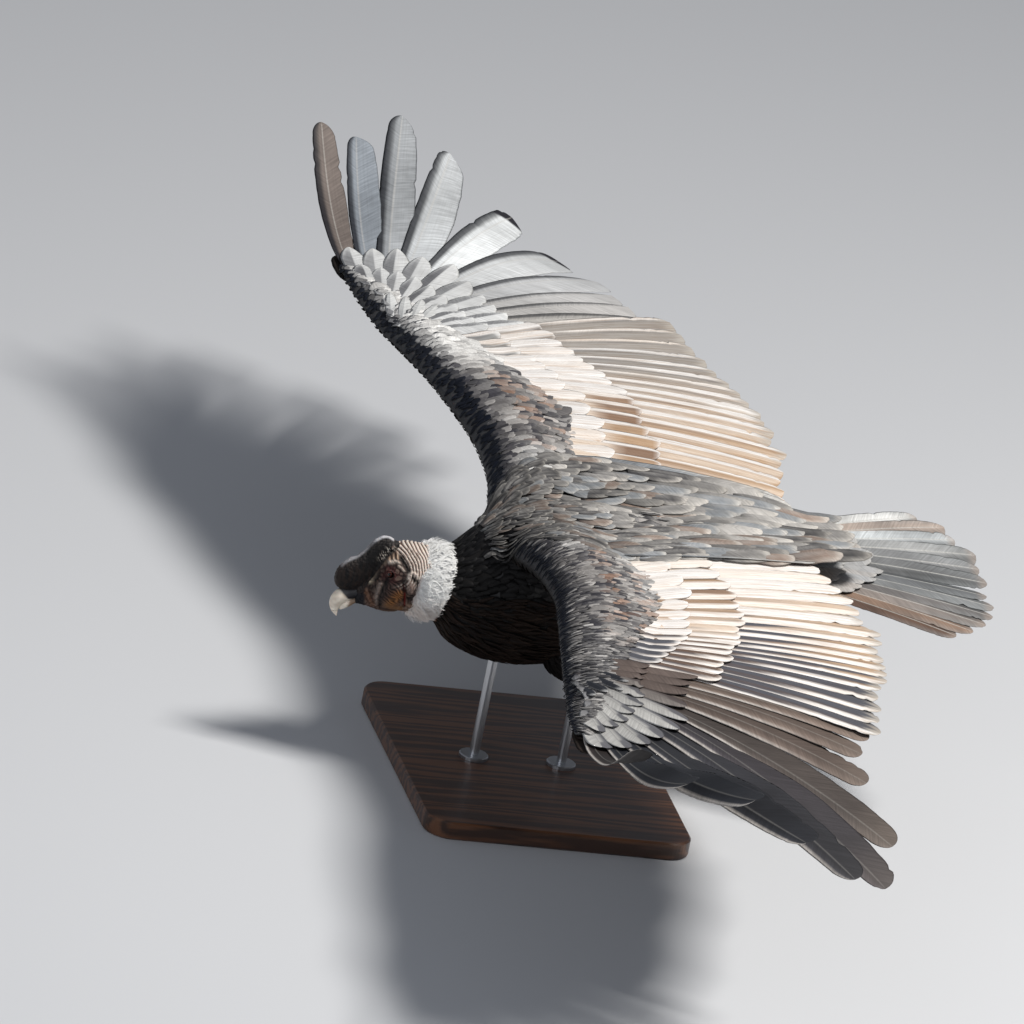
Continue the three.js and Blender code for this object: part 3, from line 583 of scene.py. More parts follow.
def tailTone(u, t, c, under, draw, side):
    shade = 0.55 * ramp(0.05, -0.35, c) + 0.15 * np.sin(t * 11 + u * 9)
    tone = blend(eachTone(tailTones[side]), tailTones["dark"], shade)
    tone = blend(tone, tailTones["streak"], 0.35 * ramp(0.4, 0.9, t) * ramp(0.2, 0.9, np.abs(c)))
    tone = blend(tone, tailTones["shaft"], (np.abs(c) < 0.04) * 0.7)
    return blend(tone, tailTones["worn"], 0.45 * ramp(0.93, 0.99, t))


buildPiece("tailFeathers", bothSides(tailFan, broadProfile, 0.94, tailTone, (0.07, 5, 0.35), 51, rollTail),
           flightPlumage, ("tail",))


# The arm and hand that the coverts lie on

leadingEdge = table([[40, -50, -12], [109, -48, 4], [200, -34, 16], [330, -36, 27], [480, -64, 40],
                     [580, -82, 40], [650, -94, 37], [750, -108, 30], [850, -127, 42], [930, -136, 50]])
rearEdge = table([[40, 118, 10], [109, 120, 38], [330, 118, 60], [480, 96, 66], [650, 32, 68], [750, 6, 68],
                  [850, -38, 56], [930, -86, 46]])
topShape = table([[0, 0], [0.03, 0.34], [0.06, 0.5], [0.2, 0.9], [0.45, 1], [0.75, 0.6], [1, 0.12]])
bottomShape = table([[0, 0], [0.03, -0.3], [0.06, -0.42], [0.2, -0.6], [0.45, -0.5], [0.75, -0.3], [1, -0.12]])


def wingSurface(out, chord, grow=0.0, face=1):
    frontAft, frontUp = leadingEdge(out)
    rearAft, rearUp = rearEdge(out)
    thick = np.interp(out, [30, 650, 930], [46, 20, 8])
    swell = (topShape if face > 0 else bottomShape)(chord)[0]
    nose = 1.6 * (1 - ramp(0, 0.16, chord))
    aft = frontAft + (rearAft - frontAft) * chord - grow * nose / np.sqrt(1 + nose ** 2)
    up = frontUp + (rearUp - frontUp) * chord + swell * thick + face * grow / np.sqrt(1 + nose ** 2)
    return stack(out + 0 * aft, aft, up)


# Wings: coverts that lie on the flight feathers

def coverBatch(cover, side, draw, tone, turn):
    fan, count = cover["fan"], cover["count"]
    first, last = cover["span"]
    u = np.linspace(0, 1, count)
    t = rowPlaces(10, 7, 0.8, 0.03, 1.7)
    reach = np.interp(u, [0, 1], cover["reach"])[:, None] * (1 + cover["jitter"] * draw.normal(size=(count, 1)))
    reach = reach * (cover.get("nearShare", 1) if side > 0 else 1)
    low, high = cover["lift"]

    def lineAt(places, rows):
        start = np.interp(places, [0, 0.45, 1], cover["start"])[:, None]
        line = fanLine(fan, first + (last - first) * places, start + (reach - start) * rows[None, :])
        line[..., 2] += low + (high - low) * rows
        if "over" in cover:
            front, rear = leadingEdge(line[..., 0])[0], rearEdge(line[..., 0])[0]
            chord = (line[..., 1] - front) / (rear - front)
            over = wingSurface(line[..., 0], np.clip(chord, 0, 1))[..., 2] + np.interp(rows, [0, 0.4, 1], cover["over"])
            line[..., 2] = np.where(chord < 1.0, np.maximum(line[..., 2], over), line[..., 2])
        return line
    line, outer, inner, up = webs(lineAt, u, 1 / (count - 1), t, cover["rise"])
    shape = np.interp(t, [0, 0.3, 0.75, 1], [0.5, 0.95, 1, 0.9]) * roundTip(t, cover["round"])
    lead, trail = (np.interp(u, [0, 1], cover[key])[:, None] * shape * worn(line.shape[:2], t, 0.05, 3, 0.25, draw)
                   for key in ("lead", "trail"))
    batch = vanes(line, outer, inner, up, lead, trail, vaneColumns["cover"], 0.3, 0.35, cover["droop"])
    return finishVanes(batch, u, t, side, draw, tone, turn)


def coverPair(cover, tone, seed, turn=mirrored):
    return [coverBatch(cover, side, np.random.default_rng(seed + side), tone, turn) for side in (1, -1)]


underCover = {"count": 16, "span": (0.0, 1.02), "reach": (0.42, 0.38), "start": (-0.1, -0.1, -0.1), "lift": (-9, -5),
              "lead": (24, 24), "trail": (30, 30), "rise": 1.4, "round": 0.85, "droop": 0.1, "jitter": 0.04}
covers = {
    "underSecondary": dict(underCover, fan=secondaryFan),
    "underPrimary": dict(underCover, fan=primaryFan, count=10, span=(0, 1), reach=(0.34, 0.26)),
    "greater": {"fan": secondaryFan, "count": 16, "span": (0.02, 1.06), "reach": (0.47, 0.36),
                "start": (-0.06, -0.06, -0.06), "lift": (4.5, 6.0), "over": (-5, -1, 4), "lead": (23, 24),
                "trail": (32, 32), "rise": 1.4, "round": 0.88, "droop": 0.12, "jitter": 0.03},
    "median": {"fan": secondaryFan, "count": 12, "span": (0.04, 1.04), "reach": (0.25, 0.14),
               "start": (-0.05, -0.08, -0.16), "lift": (1.5, 9.0), "over": (-7, -2, 5), "lead": (29, 20),
               "trail": (34, 25), "rise": 1.4, "round": 0.78, "droop": 0.14, "jitter": 0.06},
    "primary": {"fan": primaryFan, "count": 10, "span": (-0.05, 0.97), "reach": (0.31, 0.28),
                "start": (-0.04, -0.04, -0.04), "lift": (4, 6), "over": (-4, 0, 5), "lead": (22, 21),
                "trail": (34, 30), "rise": 2.0, "round": 0.6, "droop": 0.2, "jitter": 0.04, "nearShare": 0.86},
    "primaryMedian": {"fan": primaryFan, "count": 10, "span": (-0.06, 0.94), "reach": (0.13, 0.11),
                      "start": (-0.16, -0.14, -0.12), "lift": (2, 9), "over": (-6, 0, 7), "lead": (24, 20),
                      "trail": (30, 26), "rise": 2.0, "round": 0.55, "droop": 0.2, "jitter": 0.06, "nearShare": 0.8},
}


def greaterTone(u, t, c, under, draw, side):
    tan = blend(whites["tan"], whites["brown"], np.clip(0.5 + 0.3 * draw.normal(size=u.shape), 0, 1))
    if side > 0:
        edges = ([0, 0.12, 0.25, 0.5, 0.7, 1], [-0.9, -0.4, 0.15, 0.22, 0.36, 0.52])
        tan = blend(tan, whites["cream"], 0.75 * np.exp(-((u - 0.5) / 0.12) ** 2))
        slate = blend(whites["slate"], whites["warm"], 0.8 * ramp(0.5, 0.15, c))
        base = blend(tan, slate, ramp(0.52, 0.72, u) * 0.9 * ramp(1.02, 0.94, t))
    else:
        edges = ([0, 0.2, 0.5, 0.8, 1], [0.45, 0.3, -0.25, -0.4, -0.1])
        tan = blend(whites["cream"], tan, ramp(0.5, 0.72, t))
        base = blend(tan, whites["grey"], ramp(0.6, 0.9, u) * 0.7)
    tone = stripes(u, t, c, draw, edges, base, 0.07)
    return blend(tone, whites["white"], ramp(0.95, 0.99, t) * 0.6)


def medianTone(u, t, c, under, draw, side):
    edges = ([0, 0.4, 0.55, 0.75, 1], [-1, -0.8, -0.1, 0.6, 0.82]) if side > 0 else ([0, 0.6, 1], [-1, -0.6, 0.1])
    base = blend(whites["tan"], whites["slate"] if side > 0 else whites["grey"], ramp(0.45, 0.7, u))
    tone = stripes(u, t, c, draw, edges, base, 0.1)
    return blend(tone, whites["white"], ramp(0.88, 0.97, t) * 0.7)


silvers = tints(silver="c9caca", web="4a4a50", edge="e6e6e3", brown="554741", nearSilver="afaeab", nearWeb="68686d")


def silverTone(u, t, c, under, draw, side):
    if side < 0:
        wedge = ramp(-0.02, 0.06, c) * ramp(1.0, 0.9, c + 0.25 * t) * ramp(1.05, 0.7, t - 0.1 * c)
        tone = blend(silvers["silver"], silvers["web"], 0.85 * wedge * (0.6 + 0.4 * draw.random(u.shape)))
        tone = blend(tone, silvers["edge"], 0.6 * ramp(0.8, 0.95, np.abs(c)) + 0.3 * ramp(0.9, 0.98, t))
    else:
        tone = blend(silvers["nearWeb"], silvers["nearSilver"], ramp(-0.42, -0.34, c - 0.4 * ramp(0.4, 0.95, t)))
        tone = blend(tone, silvers["nearWeb"], 0.4 * (np.abs(c) < 0.05) + 0.75 * ramp(0.5, 0.1, t))
        tone = blend(tone, silvers["brown"], ramp(0.5, 0.25, u) * 0.92)
        tone = tone * (0.8 + 0.2 * ramp(-0.3, 0.7, c))[..., None]
        tone = blend(tone, silvers["edge"], 0.5 * ramp(0.86, 0.96, c) * ramp(0.3, 0.5, u))
    return tone * (1 + 0.05 * draw.normal(size=u.shape)[..., None])


buildPiece("greaterCoverts", coverPair(covers["greater"], greaterTone, 61), whitePlumage)
buildPiece("medianCoverts", coverPair(covers["median"], medianTone, 71), whitePlumage)
buildPiece("primaryCoverts", coverPair(covers["primary"], silverTone, 81)
           + coverPair(covers["primaryMedian"], silverTone, 91), flightPlumage)

alulaFan = {
    "roots": [[668, -62, 40], [682, -74, 40], [698, -88, 40]], "tips": [[752, -8, 30], [782, -40, 30], [806, -74, 30]],
    "arch": [0, 0],
}
alulaCover = {"fan": alulaFan, "count": 4, "span": (0, 1), "reach": (1, 1), "start": (0, 0, 0), "lift": (0, 0),
              "over": (-5, 0, 5), "lead": (11, 9), "trail": (17, 13), "rise": 1.4, "round": 0.6, "droop": 0.16,
              "jitter": 0.05}
alulaTones = tints(near="24262c", far="cccdcc", rim="b9b9b8", base="3c3f46")


def alulaTone(u, t, c, under, draw, side):
    wing, share = ("near", 0.3) if side > 0 else ("far", 0.35)
    tone = blend(alulaTones[wing], alulaTones["base"], ramp(0.8, 0.1, t) * share)
    rim = np.maximum(ramp(0.75, 0.95, np.abs(c)) * ramp(0.2, 0.7, t), ramp(0.86, 0.96, t))
    return blend(tone, alulaTones["rim"], 0.7 * rim)


buildPiece("alulas", coverPair(alulaCover, alulaTone, 95), flightPlumage)
print("coverts laid")


# Surfaces that skin and small feathers share

bodyTable = table([
    [-190, -34, -148, 43], [-168, -36, -149, 47], [-150, -36, -152, 50], [-128, -40, -160, 57],
    [-108, -27, -184, 70], [-75, 2, -200, 91], [-35, 32, -209, 108], [20, 48, -210, 117], [90, 51, -192, 116],
    [160, 50, -162, 108], [240, 47, -128, 98], [320, 41, -92, 84], [370, 34, -66, 77], [400, 28, -48, 70],
    [430, 22, -30, 65], [462, 18, -8, 57], [490, 13, 1, 46],
])  # aft, top, bottom, half width
bodyPower = 2.2


def squared(across, high, power=bodyPower):
    return (np.abs(across) ** power + np.abs(high) ** power) ** (-1 / power)


def bodySurface(aft, angle, grow=0.0):
    top, bottom, half = bodyTable(aft)
    across, high = np.cos(angle), np.sin(angle)
    reach = squared(across, high)
    middle, tall = (top + bottom) / 2, (top - bottom) / 2 + grow
    x, z = across * reach * (half + grow), middle + high * reach * tall
    roll = tailRoll * ramp(380, 440, aft)
    return stack(x * np.cos(roll) + z * np.sin(roll), aft + 0 * x, z * np.cos(roll) - x * np.sin(roll))


def limbSurface(path, radii):
    def at(s, angle, grow=0.0):
        centre = through(path, s)
        along = unit(through(path, s + 0.01) - through(path, s - 0.01))
        across = unit(np.array([1.0, 0, 0]) - along * along[..., :1])
        up = np.cross(across, along)
        radius = (listed(radii, s) + grow)[..., None]
        return centre + (across * np.cos(angle)[..., None] + up * np.sin(angle)[..., None]) * radius
    return at


thighSurface = limbSurface([[62, 40, -150], [62, 80, -176], [58, 130, -178], [50, 190, -160], [42, 235, -136]],
                           [10, 34, 36, 26, 14])


# Small feathers scattered over a surface

tuftShape = {False: ([0, 0.3, 0.62, 0.86, 0.985], [0.55, 0.95, 1, 0.72, 0.12]),
             True: ([0, 0.25, 0.5, 0.7, 0.84, 0.93, 0.985], [0.5, 0.85, 1, 0.98, 0.8, 0.52, 0.2])}
pointed = ([0, 0.3, 0.7, 1], [0.6, 1, 0.6, 0.05])


def tufts(surface, a, b, stepA, stepB, half, look, draw, side=1, profile=None, columns="tuft"):
    columns = vaneColumns[columns]
    t, shape = (np.array(values) for values in tuftShape[len(columns) > 3])
    shape = shape if profile is None else np.interp(t, *profile)
    lift, curl = (np.broadcast_to(look[key], a.shape)[:, None] for key in ("lift", "curl"))
    rise = look["base"] + (lift * t - curl * t ** 2) * look["length"][:, None]
    pa, pb = a[:, None] + stepA[:, None] * t, b[:, None] + stepB[:, None] * t
    line = surface(pa, pb, rise)
    up = unit(surface(pa, pb, rise + 1) - line)
    along = unit(np.gradient(line, axis=1))
    up = unit(up - along * dot(up, along))
    turn = draw.normal(0, look["twist"], (len(a), 1, 1))
    across = unit(np.cross(along, up))
    level = across * np.cos(turn) + up * np.sin(turn)
    width = half[:, None] * shape * (1 + 0.08 * draw.normal(size=(len(a), len(t))))
    batch = vanes(line, level, -level, up, width, width, columns, look["thick"], 0.15, look["droop"], True)
    batch["verts"] = mirrored(batch["verts"], side)
    batch["t"] = t
    return batch


def bakePatches(batch, across, along):  # a tuft's patch sits at its root's place on the unwrapped skin
    batch["place"] = stack(across, along)
    batch["spread"] = np.array([0.003, 0.003])
    return batch


def brick(firstA, lastA, pitchA, countAt, draw, loose=0.35):  # staggered rows of roots, b from 0 to 1
    listA, listB = [], []
    rows = max(2, int(round((lastA - firstA) / pitchA)))
    for i in range(rows):
        a = firstA + (lastA - firstA) * i / rows
        count = max(3, int(countAt(a)))
        b = (np.arange(count) + 0.5 * (i % 2) + 0.25) / count
        listB.append(b + draw.normal(0, loose * 0.3 / count, count))
        listA.append(np.full(count, a) + draw.normal(0, loose * pitchA * 0.5, count))
    return np.concatenate(listA), np.concatenate(listB)


def tipTone(batch, base, tip, amount, draw, spread=0.1):
    t, c = batch["t"][None, :, None], np.abs(batch["ring"])[None, None, :]
    share = amount * np.maximum(ramp(0.6, 1, t), ramp(0.5, 1, c) * 0.7)
    tone = blend(base[:, None, None, :], tip[:, None, None, :], share)
    return tone * (1 + spread * draw.normal(size=(len(base), 1, 1, 1)))


mottle = tints(pale="cfccc8", grey="8f8b88", dark="3c3b40", brown="93735f", navy="0a101c", silver="e8e7e4",
               black="26272d")
lesserLook = {  # 1 is the near wing, -1 the far one
    "fine": {"pitch": {1: 7.4, -1: 14.5}, "across": (34, 26, 16), "lengths": (9, 20, 24), "width": {1: 0.26, -1: 0.56}},
    "scale": {"pitch": {1: 8.6, -1: 18}, "across": {1: 17, -1: 18}, "length": {1: 25, -1: 28},
              "width": {1: 0.3, -1: 0.46}},
    "lift": {1: 0.12, -1: 0.1}, "curl": 0.04, "twist": 0.03,
    "out": [34, 400, 560, 650, 760, 930], "last": [0.92, 0.9, 0.72, 0.62, 0.66, 0.8],
}
# how far out the scapulars reach, by place along the body
capeEdge = table([[-70, 62], [-30, 110], [0, 140], [60, 188], [118, 202], [250, 168], [350, 142], [400, 126],
                  [460, 84]])


def scaleZone(out, chord):  # the middle of the arm carries larger rounded feathers
    return ramp(70, 110, out) * ramp(600, 520, out) * ramp(0.17, 0.27, chord)


def lesserTones(batch, out, chord, side, draw):
    far = side < 0
    where = stack(out, chord * 160 + 400 * side)
    jitter = draw.normal(size=len(out))
    broad, fine, rust = waves(where, 85, 5), waves(where, 26, 6), waves(where, 50, 7)
    lit = np.clip((0.5 if far else 0.42) + 0.4 * broad + 0.35 * fine + 0.3 * jitter, 0, 1)
    base = blend(mottle["dark"], mottle["grey"], lit)
    inner = ramp(130, 240, out) * ramp(620, 500, out) * ramp(0.25, 0.5, chord)
    base = blend(base, mottle["brown"], 0.85 * inner * ramp(0.25, 0.9, rust + 0.35 * jitter + 0.3 * fine))
    wrist = ramp(430, 610, out) * (1.05 if far else 0.15)
    root = (0.78 if far else 0.4) * ramp(260, 130, out) * ramp(0.12, 0.3, chord)
    rear = (0.1 if far else 0.45) * ramp(0.55, 0.85, chord) * ramp(480, 380, out)
    pale = np.clip(wrist + root + rear + 0.12 * jitter, 0, 1) * ((0.9 if far else 0.75) + 0.25 * fine)
    base = blend(base, mottle["silver"], np.minimum(pale, 1))
    if far:
        lead = np.interp(out, [80, 300, 700], [0.11, 0.15, 0.17])
        # a dark strip behind the far wing's leading edge: painted shade where the edge faces away from the light
        base = blend(base, mottle["dark"], 0.7 * ramp(0.14, 0.0, chord - lead + 0.02 * jitter))
    else:
        lead = 0.1
        # darker toward the near wing's leading edge: painted shade over the feathers' own dark colour
        front = ramp(0.4, 0.1, chord) * 0.25 + 0.22 * ramp(420, 600, out) * ramp(1.0, 0.5, chord)
        base = blend(base, mottle["black"], np.clip(front - 0.25 * (jitter > 1.1), 0, 0.85))
    # a near-black band at the leading edge: the marginal coverts' own black with painted shade, as the edge faces away
    # from the light
    base = blend(base, mottle["navy"], ramp(0, -0.05, chord - lead + 0.008 * jitter) * 0.97)
    tip = blend(base, mottle["pale"], (0.3 if far else 0.2) * ramp(0, 0.15, chord - lead) * draw.random(len(out)))
    return tipTone(batch, base, tip, 0.9, draw, 0.1)


def armTufts(surface, out, chord, long, half, lean, look, draw, side, columns):  # leaning out more toward the tip
    depth = np.interp(out, [40, 330, 650, 930], [168, 154, 126, 50])
    batch = tufts(surface, out, chord, long * np.sin(lean), long * np.cos(lean) / depth, half, look, draw, side,
                  None, columns)
    return bakePatches(batch, out / 2000 + (0 if side > 0 else 0.5), chord * 0.9)


def armLean(out):
    return np.interp(out, [40, 200, 400, 650, 930], [-0.05, -0.05, 0.12, 0.35, 0.75])


def lesserCoverts(side, scales):
    draw = np.random.default_rng((103 if scales else 101) + side)
    fine, scale = lesserLook["fine"], lesserLook["scale"]
    if scales:
        out, chord = brick(80, 600, scale["pitch"][side], lambda a: scale["across"][side], draw, 0.6)
    else:
        out, chord = brick(34, 925, fine["pitch"][side], lambda a: np.interp(a, [34, 650, 930], fine["across"]),
                           draw, 0.6)
    zone = scaleZone(out, chord) + draw.normal(0, 0.08, len(out))
    kept = (zone > 0.45 if scales else zone < 0.55) & (chord < np.interp(out, lesserLook["out"], lesserLook["last"]))
    aft = wingSurface(out, chord)[..., 1]
    kept &= (out > capeEdge(aft)[0] - 26) | (aft < -50)
    out, chord = out[kept], chord[kept]
    wrist = ramp(480, 620, out) * ramp(0.15, 0.3, chord)
    long = np.interp(chord, [0, 0.3, 1], fine["lengths"]) * np.interp(out, [30, 650, 930], [1, 1, 0.85])
    long = long * (1 + 0.25 * wrist)
    long = (scale["length"][side] if scales else long) * (1 + 0.15 * draw.normal(size=len(out)))
    half = long * (scale if scales else fine)["width"][side]
    lean = armLean(out) + 0.15 * waves(stack(out, chord * 160), 60, 12) + draw.normal(0, 0.07, len(out))
    look = {"length": long, "base": -1.0, "twist": lesserLook["twist"], "thick": 0.12, "curl": lesserLook["curl"],
            "droop": 0.16 if scales else 0.1, "lift": lesserLook["lift"][side] * ramp(0, 0.12, chord)}
    shape = "round" if scales or side < 0 else "tuft"
    batch = armTufts(wingSurface, out, chord, long, half, lean, look, draw, side, shape)
    batch["tones"] = lesserTones(batch, out, chord, side, draw)
    return batch


underTones = tints(deep="171514", brown="2b2522", row="1d1a19", rowBrown="322b27", rowTip="4a423d")


def underCoverts(side):
    draw = np.random.default_rng(111 + side)
    out, chord = brick(40, 925, 9.5, lambda a: np.interp(a, [34, 650, 930], [20, 15, 8]), draw)
    out, chord = out[chord < 0.8], chord[chord < 0.8]
    long = np.interp(chord, [0, 0.25, 1], [10, 24, 34])
    lean = armLean(out) + draw.normal(0, 0.08, len(out))
    look = {"length": long, "base": -1.0, "twist": 0.15, "thick": 0.25, "droop": 0.12, "curl": 0.02,
            "lift": 0.1 * ramp(0.05, 0.3, chord)}

    def below(a, b, grow=0.0):
        return wingSurface(a, b, grow, -1)
    batch = armTufts(below, out, chord, long, long * 0.32, lean, look, draw, side, "tuft")
    base = blend(underTones["deep"], underTones["brown"], draw.random(len(out)))
    batch["tones"] = tipTone(batch, base, base * 1.5, 0.6, draw, 0.15)
    return batch


def underTone(u, t, c, under, draw, side):
    base = blend(underTones["row"], underTones["rowBrown"], draw.random(u.shape))
    return blend(base, underTones["rowTip"], 0.5 * ramp(0.85, 0.97, t))


buildPiece("marginalCoverts", [lesserCoverts(1, False), lesserCoverts(-1, False)], smallPlumage)
buildPiece("lesserCoverts", [lesserCoverts(1, True), lesserCoverts(-1, True)], smallPlumage)
buildPiece("underwingCoverts", [underCoverts(1), underCoverts(-1)] + coverPair(covers["underSecondary"], underTone, 113)
           + coverPair(covers["underPrimary"], underTone, 117), darkPlumage)


# Body coat

bodyTones = tints(rump="5f5d5b", flank="141313", breast="0e0d0d", breastBrown="241b16", vent="4b4744", tip="3d2c22",
                  thigh="161312")


def backTones(batch, aft, angle, draw):
    where = stack(aft, angle * 90)
    forward = ramp(20, -60, aft)
    shares = stack((0.25 + 0.5 * ramp(60, 250, aft)) * (1 - forward), 0.7 * (1 - forward) + 0.1,
                   np.clip(0.5 + 0.4 * waves(where, 60, 3), 0.1, 1) + 2.5 * forward,
                   np.clip(0.1 + 0.35 * waves(where, 80, 8), 0, 1) * (1 - forward))
    base = pick([mottle[k] for k in ("pale", "grey", "dark", "brown")], shares, draw)
    base = blend(base, bodyTones["rump"], 0.8 * ramp(330, 400, aft)) * (1 - 0.88 * forward)[:, None]
    flank = ramp(0.72, 0.9, np.abs(np.cos(angle)))
    base = blend(base, bodyTones["flank"], 0.95 * flank)
    tip = blend(base, mottle["pale"], 0.45 * (1 - 0.95 * forward) * (1 - flank))
    return tipTone(batch, base * 0.85, tip, 0.8, draw, 0.15)


def breastTones(batch, aft, angle, draw):
    brown = np.clip(0.35 + 0.5 * waves(stack(aft, angle * 100), 70, 4), 0, 1)
    base = blend(bodyTones["breast"], bodyTones["breastBrown"], brown)
    base = blend(base, bodyTones["vent"], 0.9 * ramp(350, 420, aft))
    return tipTone(batch, base, blend(base, bodyTones["tip"], 0.6), 0.7, draw, 0.2)


backCoat = {"seed": 121, "span": (-134, 425), "pitch": 10, "wide": 12, "angles": (-8, 188),
            "lengths": ([-120, 0, 250, 480], [18, 25, 46, 60]), "half": 0.42, "lift": 0.13, "curl": 0.08,
            "droop": 0.24, "twist": 0.2, "tones": backTones, "profile": None}
breastCoat = {"seed": 131, "span": (-140, 470), "pitch": 11, "wide": 9, "angles": (172, 368),
              "lengths": ([-120, 0, 470], [24, 34, 44]), "half": 0.17, "lift": 0.26, "curl": 0.12,
              "droop": 0.1, "twist": 0.3, "tones": breastTones, "profile": pointed}


def bodyCoat(coat):
    draw = np.random.default_rng(coat["seed"])
    lower, upper = (math.radians(angle) for angle in coat["angles"])
    around = (upper - lower) / (2 * math.pi)

    def countAt(aft):
        top, bottom, half = bodyTable(aft)
        return math.pi * (half + (top - bottom) / 2) * around / coat["wide"]
    aft, share = brick(*coat["span"], coat["pitch"], countAt, draw)
    angle = lower + (upper - lower) * share
    long = np.interp(aft, *coat["lengths"]) * (1 + 0.12 * draw.normal(size=len(aft)))
    look = dict(coat, length=long, base=-2.0, thick=0.25)
    drift = draw.normal(0, 0.05, len(aft))
    batch = tufts(bodySurface, aft, angle, long, drift, long * coat["half"], look, draw, 1, coat["profile"])
    batch["tones"] = coat["tones"](batch, aft, angle, draw)
    return bakePatches(batch, share * 0.95, (aft + 200) / 720)


buildPiece("backFeathers", [bodyCoat(backCoat)], smallPlumage)
buildPiece("breastFeathers", [bodyCoat(breastCoat)], darkPlumage)


def thighCoat(side):
    draw = np.random.default_rng(141 + side)
    s, share = brick(0.02, 0.98, 0.05, lambda a: 22, draw)
    long = 34.0 * (1 + 0.15 * draw.normal(size=len(s)))
    look = {"length": long, "base": -2.0, "twist": 0.3, "thick": 0.25, "droop": 0.1, "lift": 0.24, "curl": 0.1}
    batch = tufts(thighSurface, s, share * 2 * math.pi, long / 220, draw.normal(0, 0.1, len(s)), long * 0.2,
                  look, draw, side, pointed)
    base = np.tile(bodyTones["thigh"], (len(s), 1))
    batch["tones"] = tipTone(batch, base, base * 2, 0.7, draw, 0.2)
    return bakePatches(batch, share * 0.45 + (0 if side > 0 else 0.5), s * 0.9)


buildPiece("thighFeathers", [thighCoat(1), thighCoat(-1)], darkPlumage)
print("body coat laid")


# Scapulars and mantle: rounded feathers over one smooth cape from wing to wing

capeGrid = {"x": (-236, 236), "aft": (-140, 480), "cell": 4, "rounds": 490, "softer": 10}
capeLook = {"lengths": [21, 30, 68, 104, 100], "rows": [8.5, 13, 25, 36, 34], "across": [11, 15, 26, 38, 38],
            "widths": [0.42, 0.38, 0.27, 0.26, 0.26], "lift": 0.08, "curl": 0.05, "twist": 0.07}


def alongCape(key, aft):
    return np.interp(aft, [-70, 0, 120, 250, 400], capeLook[key])


def capeHeights():  # the higher of body, arm and tertials, with the gaps between them filled in smoothly
    cell = capeGrid["cell"]
    across = np.arange(capeGrid["x"][0], capeGrid["x"][1] + 1, cell)
    along = np.arange(capeGrid["aft"][0], capeGrid["aft"][1] + 1, cell)
    x, aft = np.meshgrid(across, along)
    top, bottom, half = bodyTable(aft)
    share = np.clip(np.abs(x) / half, 0, 1)
    body = (top + bottom) / 2 + (top - bottom) / 2 * (1 - share ** bodyPower) ** (1 / bodyPower)
    bridge = (np.abs(x) < 34) & (aft > 150)
    high = np.where((share < 0.93) & ~bridge & (aft < 300), body, np.nan)
    frontAft, rearAft = leadingEdge(np.abs(x))[0], rearEdge(np.abs(x))[0]
    chord = (aft - frontAft) / (rearAft - frontAft)
    wing = wingSurface(np.abs(x), np.clip(chord, 0, 1))[..., 2]
    high = np.where((np.abs(x) > 24) & (chord > 0.02) & (chord < 0.98), np.fmax(high, wing), high)
    fan = fanLine(tertialFan, np.linspace(0, 1, 70), np.linspace(-0.1, 0.95, 110)).reshape(-1, 3)
    for side in (1, -1):
        column = np.round((fan[:, 0] * side - across[0]) / cell).astype(int)
        row = np.round((fan[:, 1] - along[0]) / cell).astype(int)
        np.fmax.at(high, (row, column), fan[:, 2] + 3)
    known = ~np.isnan(high)
    high = np.where(known, high, 45)
    for step in range(capeGrid["rounds"] + capeGrid["softer"]):
        padded = np.pad(high, 1, mode="edge")
        around = (padded[2:, 1:-1] + padded[:-2, 1:-1] + padded[1:-1, 2:] + padded[1:-1, :-2]) / 4
        high = np.where(known, high, around) if step < capeGrid["rounds"] else 0.5 * high + 0.5 * around
    return across, along, high


capeMap = capeHeights()


def capeSurface(aft, share, grow=0.0):
    across, along, high = capeMap
    x = share * capeEdge(aft)[0]
    i = np.clip((x - across[0]) / capeGrid["cell"], 0, len(across) - 1.001)
    j = np.clip((aft - along[0]) / capeGrid["cell"], 0, len(along) - 1.001)
    i0, j0 = i.astype(int), j.astype(int)
    fi, fj = i - i0, j - j0
    level = (high[j0, i0] * (1 - fi) + high[j0, i0 + 1] * fi) * (1 - fj)
    level += (high[j0 + 1, i0] * (1 - fi) + high[j0 + 1, i0 + 1] * fi) * fj
    return stack(x, aft + 0 * x, level + grow)


def makeCape():
    draw = np.random.default_rng(151)
    listA, listB = [], []
    aft = -78.0
    while aft < 432:
        count = int(2 * capeEdge(aft)[0] / alongCape("across", aft))
        share = (np.arange(count) + 0.5 + 0.5 * (len(listA) % 2)) / count * 2 - 1
        listB.append(share + draw.normal(0, 0.25 / count, count))
        listA.append(aft + draw.normal(0, 4, count))
        aft += alongCape("rows", aft)
    aft, share = np.concatenate(listA), np.concatenate(listB)
    long = alongCape("lengths", aft) * (1 + 0.1 * draw.normal(size=len(aft)))
    look = dict(capeLook, length=long, base=1.0, thick=0.25, droop=0.22)
    batch = tufts(capeSurface, aft, share, long, draw.normal(0, 0.02, len(aft)), long * alongCape("widths", aft),
                  look, draw, 1, None, "cape")
    forward = ramp(100, -50, aft)
    steady = np.ones(len(aft))
    shares = stack(2.4 * steady, 2.0 * (1 - 0.7 * forward), 1.2 * steady, 1.0 + 3 * forward, 1.0 * (1 - forward))
    base = pick([greys[k] for k in ("grey", "blue", "brown", "dark", "pale")], shares, draw)
    base = base * (1 - 0.55 * forward)[:, None]
    batch["tones"] = scalloped(base, batch["t"][None, :, None], batch["ring"][None, None, :], draw,
                               (0.6 - 0.35 * forward)[:, None, None])
    return bakePatches(batch, 0.5 + 0.45 * share, (aft + 100) / 520)


buildPiece("scapulars", [makeCape()], smallPlumage)

